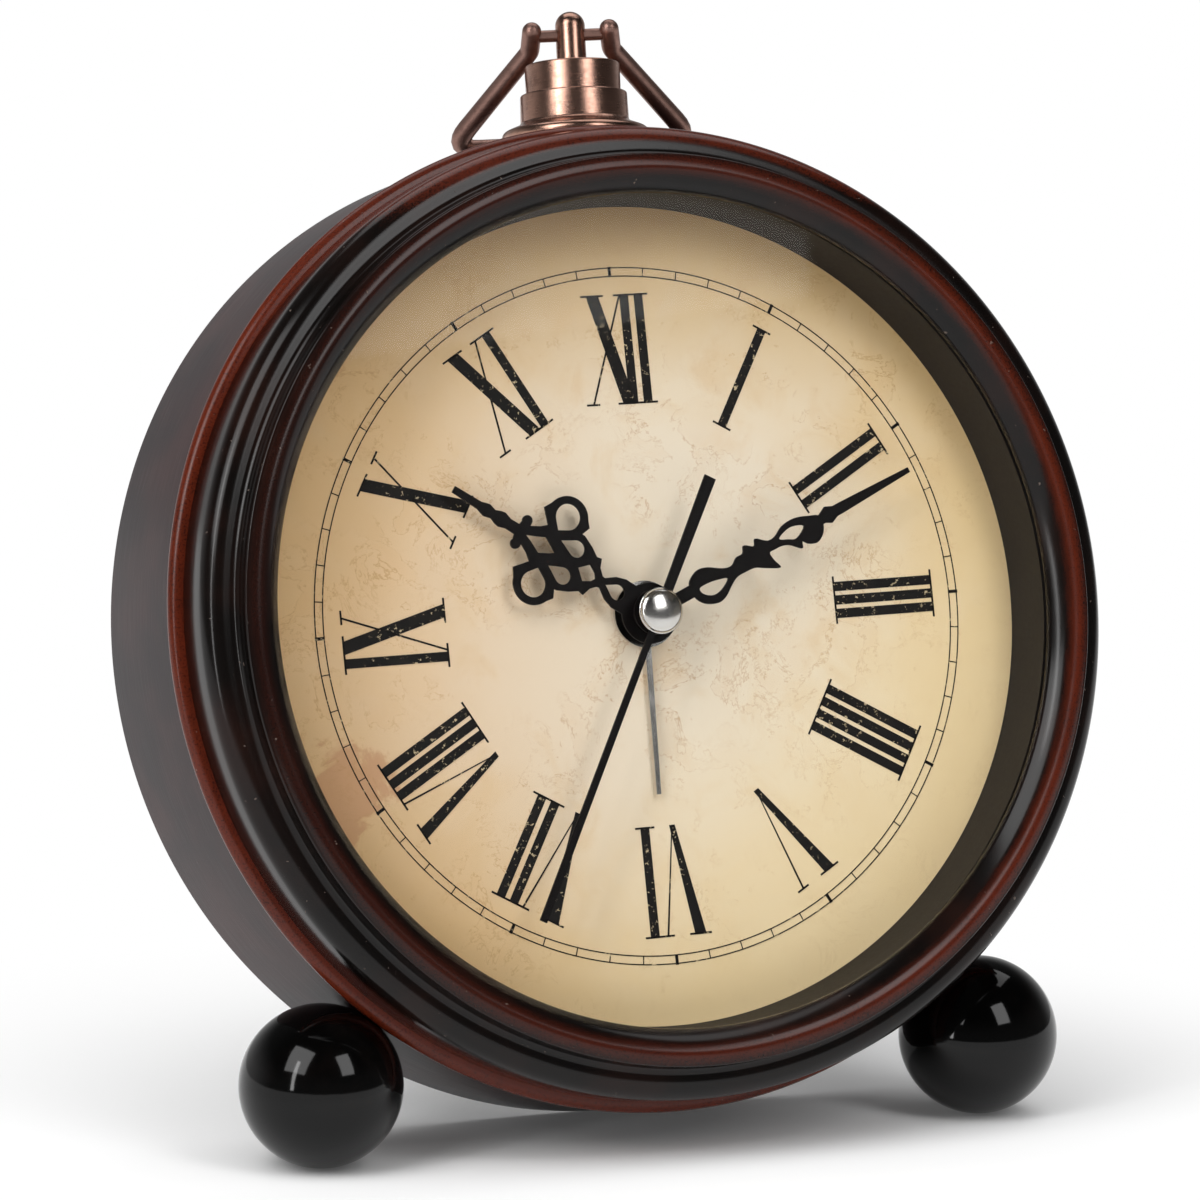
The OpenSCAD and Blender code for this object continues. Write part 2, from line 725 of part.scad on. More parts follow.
module alarm_wheel() {
  color("goldenrod") stand() difference() {
    union() {
      wheel(alarm_n, alarm_m, alarm_z, wheel_t, 0, 5);
      tube(alarm_hand_z, alarm_z - wheel_t, alarm_tube_r, hour_tube_r + run);
    }
    bore(hour_tube_r + run, alarm_z, wheel_t);
  }
}

module hour_wheel() {
  color("goldenrod") stand() difference() {
    union() {
      wheel(hour_n, hour_m, hour_z, wheel_t, hour_turn, 5);
      tube(hour_hand_z, hour_z - wheel_t, hour_tube_r, minute_tube_r + run);
    }
    bore(minute_tube_r + run, hour_z, wheel_t);
  }
}

module cannon_pinion() {
  color("khaki") stand() difference() {
    union() {
      wheel(cannon_n, motion_m, motion_z, wheel_t, 0);
      tube(minute_hand_z, centre_z - thin_t, minute_tube_r, second_shaft_r + run);
    }
    bore(second_shaft_r + run, motion_z, wheel_t);
  }
}

module centre_wheel() {
  color("goldenrod") stand() difference() {
    wheel(centre_n, centre_m, centre_z, thin_t, 0, 5);
    bore(minute_tube_r, centre_z, thin_t);
  }
}

module minute_wheel() {
  color("khaki") stand() at(minute_at) {
    wheel(minute_n, motion_m, motion_z, wheel_t, minute_turn, 5);
    wheel(minute_pin_n, hour_m, hour_z, wheel_t + gap_z + tiny, minute_pin_turn);
    arbor(front_z - plate_t - run, middle_z + run);
  }
}

module third_wheel() {
  color("goldenrod") stand() at(third_at) {
    wheel(third_n, going_m, third_z, thin_t, third_turn, 5);
    wheel(third_pin_n, centre_m, centre_z, thin_t + gap_z + tiny, third_pin_turn);
    arbor(middle_z - plate_t - run, back_z + run);
  }
}

module second_wheel() {
  color("goldenrod") stand() {
    wheel(second_n, going_m, second_z, thin_t, 0, 5);
    wheel(second_pin_n, going_m, third_z, thin_t + gap_z + tiny, 0);
    translate([0, 0, second_z]) cylinder(r = second_shaft_r, h = second_hand_z + cap_h / 2 - second_z);
    translate([0, 0, back_z + run]) cylinder(r = arbor_r, h = second_z - back_z - run);
    translate([0, 0, back_z - pivot_l]) cylinder(r = pivot_r, h = 2);
  }
}

module fifth_wheel() {
  color("khaki") stand() at(fifth_at) {
    wheel(fifth_n, going_m, fifth_z, thin_t, 0, 5);
    wheel(fifth_pin_n, going_m, second_z, thin_t + gap_z + tiny, fifth_pin_turn);
    arbor(middle_z - plate_t - run, back_z + run);
  }
}

module rotor() {
  color("dimgray") stand() at(rotor_at) {
    wheel(rotor_pin_n, going_m, fifth_z, thin_t, rotor_turn);
    layer(centre_z, centre_z - fifth_z - gap_z) circle(magnet_r);
    arbor(middle_z - plate_t - run, back_z + run);
  }
}

module stator() {
  color("silver") stand() layer(stator_z, stator_t) difference() {
    translate([stator_x, stator_y0]) square([stator_x1 - stator_x, stator_y1 - stator_y0]);
    translate(rotor_at) circle(magnet_r + rotor_gap);
    translate([coil_x - coil_r - coil_gap, stator_y0 + stator_arm]) square([2 * coil_r + 10, coil_l]);
  }
}

module coil() {
  color("orangered") stand()
    translate([coil_x, stator_y0 + stator_arm + fit, stator_z - stator_t / 2]) rotate([-90, 0, 0]) {
      cylinder(r = coil_r - 0.4, h = coil_l - 2 * fit);
      for (y = [0, coil_l - 2 * fit - 1]) translate([0, 0, y]) cylinder(r = coil_r, h = 1);
    }
}

module circuit_board() {
  color("darkgreen") stand() translate([board_at.x, board_at.y, board_z - board_t])
    cube([board_w, board_d, board_t]);
}

module quartz_crystal() {
  color("silver") stand() translate([board_at.x + 8, board_at.y + 2, board_z - board_t - 1])
    rotate([0, 90, 0]) cylinder(r = 1, h = 6);
}

module chip_cover() {
  color([0.05, 0.05, 0.05]) stand() translate([board_at.x + 26, board_at.y + board_d / 2, board_z - board_t])
    rotate([180, 0, 0]) rotate_extrude()
      polygon([[0, 0], [chip_r, 0], [chip_r - 0.3, 0.5], [chip_r - 1.2, 1], [0, 1.2]]);
}

// A setting shaft with its pinion, running back through the cover to its knob
module set_shaft(n, m, z, a) {
  wheel(n, m, z, wheel_t, a);
  translate([0, 0, shaft_back]) cylinder(r = set_r, h = front_z - plate_t - run - shaft_back);
  translate([0, 0, front_z - plate_t - 1]) cylinder(r = pivot_r, h = 1 + pivot_l - 0.4);
}

// A grooved knob with its front face at knob_z
module knob_body() {
  grooves = 24;
  difference() {
    translate([0, 0, knob_z - knob_h]) cylinder(r = knob_r, h = knob_h);
    for (i = [1 : grooves])
      rotate(i * 360 / grooves) translate([knob_r + 0.2, 0, knob_z - knob_h - 1])
        cylinder(r = 0.5, h = knob_h - 0.2);
    translate([0, 0, shaft_back]) cylinder(r = set_r, h = knob_h + 1);
  }
}

module time_set_shaft() {
  color("khaki") stand() at(set_at)
    set_shaft(set_n, motion_m, motion_z, set_turn);
}

module time_set_knob() {
  color([0.07, 0.07, 0.07]) stand() at(set_at) knob_body();
}

module alarm_set_shaft() {
  color("khaki") stand() at(alarm_at)
    set_shaft(alarm_set_n, alarm_m, alarm_z, alarm_set_turn);
}

module alarm_set_knob() {
  color([0.07, 0.07, 0.07]) stand() at(alarm_at) knob_body();
}

// A hand's blade, drawn pointing to twelve, with its hub and collet on a tube
module hand(top, angle, hub_r, tube_r, collet_r, collet_h) {
  difference() {
    union() {
      rotate(-angle) layer(top, hand_t) {
        circle(hub_r);
        children();
      }
      layer(top, collet_h) circle(collet_r);
    }
    translate([0, 0, top - collet_h - 1]) cylinder(r = tube_r, h = collet_h + 2);
  }
}

// A round hole drawn out to a point, in the direction of the point
module drop(c, r, tip) {
  d = tip - c;
  b = acos(r / norm(d));
  a = atan2(d.y, d.x);
  translate(c) circle(r);
  polygon([tip, c + polar(r, a + b), c, c + polar(r, a - b)]);
}

module both_sides() {
  children();
  mirror([1, 0]) children();
}

module hour_blade() {
  loop_c = [4.95, 16];
  loop_r = 2.9;
  difference() {
    both_sides() {
      polygon([[0, 3], [2.1, 3.4], [2.15, 5], [1.7, 6.4], [0.75, 7.7], [0.8, 8.1], [1.6, 8.9], [2.75, 9.3],
        [2.6, 10], [3.4, 11.2], [4.15, 12.8], [4.1, 15], [3.4, 17.2], [2, 18.8], [1.3, 20.1],
        [0.75, 21.2], [0.72, 22.8], [1.05, 23.8], [0.95, 24.4], [0.62, 25.2], [0.9, 26.2],
        [0.75, 26.8], [0.55, 27.4], [0.45, hour_l], [0, hour_l]]);
      translate(loop_c) circle(loop_r);
      polygon([loop_c + polar(loop_r, 75), loop_c + [-0.4, loop_r + 0.6], loop_c + polar(loop_r, 125)]);
      polygon([loop_c + polar(loop_r, -65), loop_c + [0.4, -loop_r - 0.4], loop_c + polar(loop_r, -115)]);
      translate([1.75, 20.7]) circle(0.7);
      polygon([[0, 20], [1.75, 20], [1.75, 21.2], [0, 21.6]]);
    }
    both_sides() {
      drop(loop_c + [0.15, 0], 1.75, loop_c + [-2.1, 0.4]);
      drop([2.05, 12.95], 1.15, [1.9, 15.4]);
      polygon([[0, 20], [0.45, 18.9], [1.2, 17.4], [0.5, 16.1], [0, 15.4]]);
      polygon([[0, 11.6], [1.25, 10.3], [0.6, 9.2], [0, 8.8]]);
    }
    drop([0, 5.3], 1.05, [0, 7.2]);
  }
}

module minute_blade() {
  difference() {
    union() {
      polygon([[-0.85, 2], [0.85, 2], [0.85, 6.4], [-0.85, 6.4]]);
      polygon(smooth([[1, 6], [2.3, 6.9], [3.05, 8.6], [2.8, 10], [1.9, 11.4], [1.3, 12.6], [1.25, 14],
        [1.4, 15.6], [2.2, 17.1], [3, 18.9], [1.7, 18.5], [0.6, 18.4], [0.55, 19.3], [0.6, 20.4],
        [1, 21.5], [1.7, 22.3], [2.2, 23], [1.4, 23.4], [2.1, 24.1], [2.5, 25.3], [1.9, 26.5],
        [0.8, 27.2], [-0.5, 27.2], [-1.2, 25.8], [-1.85, 23.8], [-1.75, 21.8], [-1, 20.2],
        [-0.9, 19.2], [-1.2, 18.5], [-2, 17.4], [-1.2, 16.8], [-1.95, 15.5], [-1.1, 14.9],
        [-1.05, 13.8], [-0.4, 12.7], [-0.7, 11.3], [-1.8, 9.4], [-2.1, 8], [-1.6, 6.7], [-0.8, 6]], 4));
      polygon([[0.8, 27], [0.75, 27.6], [1.2, 28.5], [0.75, 29.6], [0.75, 30.6], [0.35, minute_l],
        [-0.35, minute_l], [-0.75, 30.6], [-0.75, 29.6], [-1.2, 28.5], [-0.75, 27.6], [-0.5, 27]]);
    }
    polygon(smooth([[-0.3, 24.6], [0.65, 22.9], [0.2, 21.6], [-0.4, 20.5], [-0.9, 21.6], [-1, 23]], 4));
    polygon(smooth([[0.85, 11.4], [1.75, 9.8], [1.8, 8.4], [1.05, 7.25], [0.15, 7.1], [0.1, 8.6],
      [0.35, 10]], 4));
  }
}

module alarm_hand() {
  color("silver") stand() hand(alarm_hand_z, alarm_angle, alarm_hub_r, alarm_tube_r, alarm_hub_r, 0.5)
    polygon([[-0.45, 3], [0.45, 3], [0.3, alarm_l], [-0.3, alarm_l]]);
}

module hour_hand() {
  color([0.08, 0.07, 0.07]) stand() hand(hour_hand_z, hour_angle, 4, hour_tube_r, 3, 1.1) hour_blade();
}

module minute_hand() {
  color([0.08, 0.07, 0.07]) stand() hand(minute_hand_z, minute_angle, 3, minute_tube_r, 2.6, 1.5)
    minute_blade();
}

module second_hand() {
  color([0.08, 0.07, 0.07]) stand() hand(second_hand_z, second_angle, 2.4, second_shaft_r, 1.6, 1)
    polygon([[-0.45, 0], [-0.5, second_l], [0.5, second_l], [0.45, 0], [0.65, -1.5], [0.82, -second_tail],
      [-0.82, -second_tail], [-0.65, -1.5]]);
}

module hand_cap() {
  color("gainsboro") stand() difference() {
    translate([0, 0, second_hand_z]) rotate_extrude() polygon(concat(
      [[0, 0], [cap_r, 0], [cap_r, 0.25], [cap_r - 0.15, 0.35]],
      [for (i = [0 : 8]) [(cap_r - 0.2) * cos(i * 11.25), 0.4 + (cap_h - 0.4) * sin(i * 11.25)]]
    ));
    translate([0, 0, second_hand_z - 1]) cylinder(r = second_shaft_r, h = 1 + cap_h / 2);
  }
}

// Place of the battery bay on the rear cover
module at_bay() {
  translate([0, -cell_down, 0]) children();
}

module rear_cover() {
  color([0.09, 0.09, 0.09]) stand() difference() {
    union() {
      layer(cover_front, cover_t) circle(cover_r);
      at_bay() translate([-bay_x - bay_wall, -bay_y - bay_wall, cover_front - tiny])
        cube([2 * (bay_x + bay_wall), 2 * (bay_y + bay_wall), bay_front + bay_wall - cover_front]);
      at(buzzer_at) layer(cover_front + buzzer_t + 0.5, buzzer_t + 0.6) difference() {
        circle(buzzer_r + 1.2);
        circle(buzzer_r + fit);
      }
    }
    at_bay() translate([-bay_x, -bay_y, cover_back - 1])
      cube([2 * bay_x, 2 * bay_y, bay_front - cover_back + 1]);
    at_bay() translate([-bay_x - door_lap, -bay_y - door_lap, cover_back - 1])
      cube([2 * (bay_x + door_lap), 2 * (bay_y + door_lap), 1 + door_t]);
    for (s = [-1, 1])
      translate([s * lead_hole.x, lead_hole.y, bay_front - 1]) cylinder(r = lead_r + run, h = bay_wall + 2);
    for (a = tab_angles)
      rotate(a) translate([tab_hole_d, 0, cover_back - 1]) cylinder(r = cover_screw_r, h = cover_t + 2);
    for (p = [set_at, alarm_at])
      at(p) translate([0, 0, cover_back - 1]) cylinder(r = set_r + 4 * run, h = cover_t + 2);
    at(switch_at) translate([-1.5, -2, cover_back - 1]) cube([3, 4 + switch_travel, cover_t + 2]);
    for (p = concat([[0, 0]], [for (i = [0 : 5]) polar(5, i * 60)]))
      at(buzzer_at + p) translate([0, 0, cover_back - 1]) cylinder(r = 1, h = cover_t + 2);
  }
}

module rear_cover_screws() {
  color("silver") stand() for (a = tab_angles)
    rotate(a) translate([tab_hole_d, 0, cover_back]) rotate([180, 0, 0])
      screw(cover_screw_r - run, cover_t + tab_t + 1, 2.2, 0.7);
}

module alarm_switch() {
  color([0.75, 0.75, 0.72]) stand() at(switch_at) {
    translate([-switch_w / 2, -switch_l / 2, cover_back - 1.6]) cube([switch_w, switch_l, 1.4]);
    translate([-1.4, -1.8, cover_back - 0.3]) cube([2.8, 3.6, cover_t + 0.5]);
    translate([-3, -4, cover_front + 0.15]) cube([6, 8, 0.9]);
  }
}

module buzzer() {
  color("goldenrod") stand() at(buzzer_at) layer(cover_front + buzzer_t, buzzer_t) circle(buzzer_r);
}

module battery() {
  color([0.35, 0.35, 0.38]) stand() at_bay() translate([-cell_l / 2, 0, cell_z]) rotate([0, 90, 0]) {
    cylinder(r = cell_r, h = cell_l);
    cylinder(r = 2.7, h = cell_l + 1.2);
  }
}

// A contact stands against the bay's end wall, at the side s
module contact_plate(s) {
  translate([s * (bay_x - 0.2) - 0.2, -contact_w / 2, cell_z - contact_w / 2])
    cube([0.4, contact_w, contact_h]);
}

module battery_contact_plus() {
  color("silver") stand() at_bay() {
    contact_plate(1);
    translate([cell_l / 2 + 1.2, 0, cell_z]) rotate([0, 90, 0])
      cylinder(r = 2.2, h = bay_x - cell_l / 2 - 1.4);
  }
}

module battery_contact_minus() {
  color("silver") stand() at_bay() {
    contact_plate(-1);
    translate([-bay_x + 0.2, 0, cell_z]) rotate([0, 90, 0]) cylinder(r1 = spring_r, r2 = spring_tip_r,
      h = bay_x - cell_l / 2 - 0.2);
  }
}

module battery_leads() {
  color("firebrick") stand() for (s = [-1, 1]) wire([
    [s * lead_hole.x, lead_hole.y, bay_front - lead_r],
    [s * lead_hole.x, lead_hole.y, lead_z],
    [s * lead_x, lead_hole.y + 7, lead_z],
    [s * lead_x, board_at.y + 3, lead_z],
    [s * move_w, board_at.y + 3, lead_z]
  ], lead_r);
}

module battery_door() {
  color([0.1, 0.1, 0.1]) stand() at_bay() difference() {
    translate([-bay_x - door_lap + fit, -bay_y - door_lap + fit, cover_back])
      cube([2 * (bay_x + door_lap - fit), 2 * (bay_y + door_lap - fit), door_t - fit]);
    for (i = [-2 : 2])
      translate([i * 2 - 0.4, bay_y - 3, cover_back - 1]) cube([0.8, 3, 1.4]);
  }
}

case_drum();
bezel();
glass_lens();
spacer_ring();
dial_plate();
dial_clamp_ring();
dial_clamp_screws();
ball_foot_left();
ball_foot_right();
foot_screws();
handle_flange();
handle_post();
handle_screw();
bail();
dial_pillars();
movement_front_plate();
movement_middle_plate();
movement_back_plate();
movement_fixing_screws();
movement_screws();
alarm_wheel();
hour_wheel();
cannon_pinion();
centre_wheel();
minute_wheel();
third_wheel();
second_wheel();
fifth_wheel();
rotor();
stator();
coil();
circuit_board();
quartz_crystal();
chip_cover();
time_set_shaft();
time_set_knob();
alarm_set_shaft();
alarm_set_knob();
alarm_hand();
hour_hand();
minute_hand();
second_hand();
hand_cap();
rear_cover();
rear_cover_screws();
alarm_switch();
buzzer();
battery();
battery_contact_plus();
battery_contact_minus();
battery_leads();
battery_door();
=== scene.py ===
"""Looks of the table alarm clock: turned case, aged dial, ink, copper handle and studio stage.

The file is laid out as a Blender add-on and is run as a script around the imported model.
Pieces are drawn in the bench frame, in millimetres: X to the right, Y towards twelve, Z out of
the dial, with the dial's printed face at Z = 0. BENCH takes them to the standing clock.
"""

import json
import math

import bmesh
import bpy
from mathutils import Matrix, Vector


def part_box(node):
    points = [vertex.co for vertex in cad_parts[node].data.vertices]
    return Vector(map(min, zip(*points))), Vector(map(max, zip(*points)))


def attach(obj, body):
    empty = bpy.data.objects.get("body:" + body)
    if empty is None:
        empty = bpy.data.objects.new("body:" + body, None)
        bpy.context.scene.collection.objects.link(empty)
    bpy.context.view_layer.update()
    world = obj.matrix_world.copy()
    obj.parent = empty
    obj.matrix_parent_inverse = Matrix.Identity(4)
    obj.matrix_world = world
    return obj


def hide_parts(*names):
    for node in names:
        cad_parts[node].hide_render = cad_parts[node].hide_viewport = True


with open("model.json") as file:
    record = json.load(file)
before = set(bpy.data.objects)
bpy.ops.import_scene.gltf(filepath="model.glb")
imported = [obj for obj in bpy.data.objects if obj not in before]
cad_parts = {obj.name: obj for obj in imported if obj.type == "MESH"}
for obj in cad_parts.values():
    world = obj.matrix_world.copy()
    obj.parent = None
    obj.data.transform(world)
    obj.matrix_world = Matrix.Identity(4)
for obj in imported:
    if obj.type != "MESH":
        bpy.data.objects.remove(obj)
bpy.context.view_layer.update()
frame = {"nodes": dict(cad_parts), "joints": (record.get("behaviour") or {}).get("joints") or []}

bl_info = {
    "name": "Table alarm clock",
    "version": (1, 0, 0),
    "blender": (4, 5, 0),
    "location": "View3D > Sidebar > Clock",
    "description": "Dresses the packed clock with its finishes, dial print and stage",
    "category": "Object",
}

MM = 0.001
# The minute hand's joint is packed this far behind the dial's printed face.
HINGE_DEPTH = 8 * MM


def joint_of(name):
    """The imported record's joint of that name."""
    return next(j for j in frame["joints"] if j["name"] == name)


def bench_matrix():
    """Bench millimetres to the standing clock in metres, from the minute hand's axis."""
    hinge = joint_of("minute_hand_turn")
    out = -Vector(hinge["axis"]).normalized()
    right = Vector((1, 0, 0))
    up = out.cross(right)
    at = Vector(hinge["pos_m"]) + out * HINGE_DEPTH
    turn = Matrix((right, up, out)).transposed()
    return Matrix.Translation(at) @ turn.to_4x4() @ Matrix.Scale(MM, 4)


BENCH = bench_matrix()
BENCH_TURN = BENCH.to_3x3().normalized()
BENCH_AT = BENCH.to_translation()


def tone(code):
    """A linear colour from a six-digit screen colour."""
    parts = [int(code[i:i + 2], 16) / 255 for i in (0, 2, 4)]
    return tuple(c / 12.92 if c <= 0.04045 else ((c + 0.055) / 1.055) ** 2.4 for c in parts)


def length(name, size, note):
    """A length property, with its default in millimetres."""
    return bpy.props.FloatProperty(
        name=name, description=note, default=size * MM, unit="LENGTH", precision=5)


def angle(name, degrees, note):
    """An angle property, with its default in degrees."""
    return bpy.props.FloatProperty(
        name=name, description=note, default=math.radians(degrees), subtype="ANGLE")


def colour(name, code, note):
    """A colour property, with its default as a screen colour."""
    return bpy.props.FloatVectorProperty(
        name=name, description=note, default=tone(code), subtype="COLOR", size=3, min=0, max=1)


class ClockSizes(bpy.types.PropertyGroup):
    """Sizes of the dressed pieces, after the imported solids."""

    drum_radius: length("Drum radius", 64.6, "Outside of the drum")
    drum_back: length("Drum back", 27, "Depth of the drum behind the dial")
    drum_front: length("Drum front", 3.1, "Drum's front edge behind the dial")
    rim_radius: length("Rim radius", 65.2, "Outside of the worn rim bead")
    bead_radius: length("Bead radius", 1.25, "Radius of the rim bead")
    band_radius: length("Band radius", 63.7, "Outside of the bezel's side")
    band_height: length("Band height", 8.6, "Height of the shoulder above the dial")
    shoulder_radius: length("Shoulder radius", 2.6, "Rounding of the shoulder")
    crown_radius: length("Crown radius", 59.5, "Radius of the crown's sharp edge")
    crown_height: length("Crown height", 11.9, "Height of the crown above the dial")
    lip_radius: length("Lip radius", 55.2, "Radius of the lip over the glass")
    glass_top: length("Glass top", 9.4, "Height of the glass above the dial")
    dial_radius: length("Dial radius", 62.05, "Outside of the dial sheet")
    ring_outer: length("Minute ring outside", 46, "Outer line of the minute ring")
    ring_inner: length("Minute ring inside", 44.73, "Inner line of the minute ring")
    numeral_foot: length("Numeral foot", 27.8, "Inner ends of the numerals")
    numeral_head: length("Numeral head", 42.4, "Outer ends of the numerals")
    print_turn: angle("Print turn", -1.43, "Turn of the printed sheet, clockwise")
    ball_radius: length("Ball radius", 10.65, "Radius of a ball foot")
    ball_reach: length("Ball reach", 74.95, "Distance of the balls from the drum's centre line")
    ball_angle: angle("Ball angle", 39, "Angle of each foot from the bottom")
    ball_depth: length("Ball depth", 6.5, "Distance of the feet behind the dial")
    handle_depth: length("Handle depth", 14.5, "Distance of the handle behind the dial")
    handle_turn: angle("Handle turn", 1.5, "Angle of the handle from twelve, clockwise")
    eye_turn: angle("Eye turn", 20, "Turn of the eye about the handle's own axis")
    bail_width: length("Bail width", 32.4, "Distance between the bail's lower corners")
    bail_length: length("Bail length", 17.3, "Length of the bail below its cross wire")
    knob_radius: length("Knob radius", 6.5, "Radius of the setting knobs")


class ClockFinishes(bpy.types.PropertyGroup):
    """Colours of the finishes."""

    drum: colour("Drum", "1c1114", "Dark lacquer of the drum")
    drum_brown: colour("Drum, brown", "38201f", "Where the drum's lacquer thins")
    lacquer: colour("Lacquer", "0c0908", "Dark lacquer of the bezel")
    lacquer_brown: colour("Lacquer, brown", "1d0f0b", "Where the bezel's lacquer thins")
    worn: colour("Worn lacquer", "6a2713", "Rubbed edges of the bezel")
    worn_dark: colour("Worn lacquer, dark", "260c07", "Dark grain of the rubbed edges")
    paper: colour("Paper", "e9dcc6", "Middle of the aged dial")
    paper_edge: colour("Paper, edge", "dfbe84", "Outer part of the aged dial")
    stain: colour("Stain", "b98a52", "Brown stains of the dial")
    ink: colour("Ink", "0f0c0a", "Numerals and minute ring")
    hands: colour("Hands", "080606", "Painted hands")
    copper: colour("Copper", "ab8575", "Handle plating")
    patina: colour("Patina", "3a221c", "Dark tarnish of the handle")
    bail: colour("Bail", "94746a", "Plating of the bail")
    ball: colour("Ball", "030303", "Polished feet")
    backdrop: colour("Backdrop", "ffffff", "Floor")


class Flow:
    """A socket of a node tree that takes part in Python arithmetic."""

    def __init__(self, nodes, socket):
        self.nodes = nodes
        self.socket = socket

    def math(self, operation, *others):
        inputs = dict(enumerate((self,) + others))
        return self.nodes.add("ShaderNodeMath", {"operation": operation}, inputs)

    def __add__(self, other):
        return self.math("ADD", other)

    def __sub__(self, other):
        return self.math("SUBTRACT", other)

    def __mul__(self, other):
        return self.math("MULTIPLY", other)

    def __truediv__(self, other):
        return self.math("DIVIDE", other)

    def __pow__(self, other):
        return self.math("POWER", other)

    def __rsub__(self, other):
        return self.nodes.add("ShaderNodeMath", {"operation": "SUBTRACT"}, {0: other, 1: self})

    __radd__ = __add__
    __rmul__ = __mul__

    def smooth(self, low, high):
        """0 below low and 1 above high, or the other way round where low is the larger."""
        if low > high:
            return 1 - self.smooth(high, low)
        return self.nodes.add(
            "ShaderNodeMapRange", {"interpolation_type": "SMOOTHSTEP"},
            {"Value": self, "From Min": low, "From Max": high})

    def near(self, middle, reach):
        """1 at the middle, falling to 0 at the reach on both sides."""
        return (self - middle).math("ABSOLUTE").smooth(reach, 0)


class Nodes:
    """A node tree that nodes are added to."""

    def __init__(self, tree):
        self.tree = tree

    def feed(self, socket, value):
        """Links a flow to the socket, or sets the socket to a plain value."""
        if isinstance(value, Flow):
            self.tree.links.new(value.socket, socket)
        elif socket.type == "RGBA":
            socket.default_value = (*tuple(value)[:3], 1)
        else:
            socket.default_value = value

    def add(self, kind, settings=None, inputs=None, out=0):
        """Adds any node: its settings first, then the values or links of its sockets."""
        node = self.tree.nodes.new(kind)
        for name, value in (settings or {}).items():
            setattr(node, name, value)
        for key, value in (inputs or {}).items():
            self.feed(node.inputs[key], value)
        return Flow(self, node.outputs[out])


class Paint(Nodes):
    """A procedural material, with its pattern coordinates in the bench frame."""

    def __init__(self, name):
        self.material = bpy.data.materials.new(name)
        self.material.use_nodes = True
        super().__init__(self.material.node_tree)
        self.shader = self.tree.nodes["Principled BSDF"]
        self.output = self.tree.nodes["Material Output"]
        turn = BENCH_TURN.transposed()
        place = self.add("ShaderNodeTexCoord", out="Object")
        self.place = self.add("ShaderNodeMapping", None, {
            "Vector": place, "Location": -(turn @ BENCH_AT) / MM,
            "Rotation": turn.to_euler(), "Scale": (1 / MM, 1 / MM, 1 / MM)})
        self.x, self.y, self.z = (
            self.add("ShaderNodeSeparateXYZ", None, {0: self.place}, out=axis) for axis in "XYZ")
        self.r = (self.x * self.x + self.y * self.y) ** 0.5
        self.turn = self.y.math("ARCTAN2", self.x)

    def vector(self, x, y, z):
        return self.add("ShaderNodeCombineXYZ", None, {0: x, 1: y, 2: z})

    def noise(self, scale, detail=4, rough=0.55, warp=0, at=None):
        return self.add("ShaderNodeTexNoise", None, {
            "Vector": at or self.place, "Scale": scale, "Detail": detail,
            "Roughness": rough, "Distortion": warp})

    def washes(self, body, *layers):
        """The body colour under washes of other colours, each given as a share and a colour."""
        for share, shade in layers:
            body = self.add(
                "ShaderNodeMix", {"data_type": "RGBA"}, {0: share, 6: body, 7: shade}, out=2)
        return body

    def surface(self, bump, reach, **sockets):
        """Feeds the shader and a bump of that reach; underscores in names stand for spaces."""
        for name, value in sockets.items():
            self.feed(self.shader.inputs[name.replace("_", " ")], value)
        normal = self.add("ShaderNodeBump", None, {
            "Strength": 1.0, "Distance": reach * MM, "Height": bump}, out="Normal")
        self.feed(self.shader.inputs["Normal"], normal)
        return self.material

    def blend(self, share, first, second):
        """Shows a mix of two other shaders in the shader's place."""
        mixed = self.add("ShaderNodeMixShader", None, {0: share, 1: first, 2: second})
        self.feed(self.output.inputs["Surface"], mixed)
        return self.material


def drum_paint(finish):
    """Dark lacquer with fine streaks that run round the drum."""
    paint = Paint("drum_lacquer")
    streak = paint.noise(1, 4, 0.6, at=paint.vector(paint.turn * 7, paint.z * 2.6, 0.0))
    broad = paint.noise(0.05, 3)
    speck = paint.noise(0.9, 2).smooth(0.72, 0.77)
    body = paint.washes(
        finish.drum,
        (broad.smooth(0.35, 0.75), finish.drum_brown),
        (streak.smooth(0.45, 0.75) * 0.5, tone("3d2f33")),
        (speck * 0.4, tone("3c302c")),
    )
    return paint.surface(
        bump=streak + speck * 0.6, reach=0.016, Base_Color=body,
        Roughness=0.26 + streak * 0.2, Specular_IOR_Level=0.12)


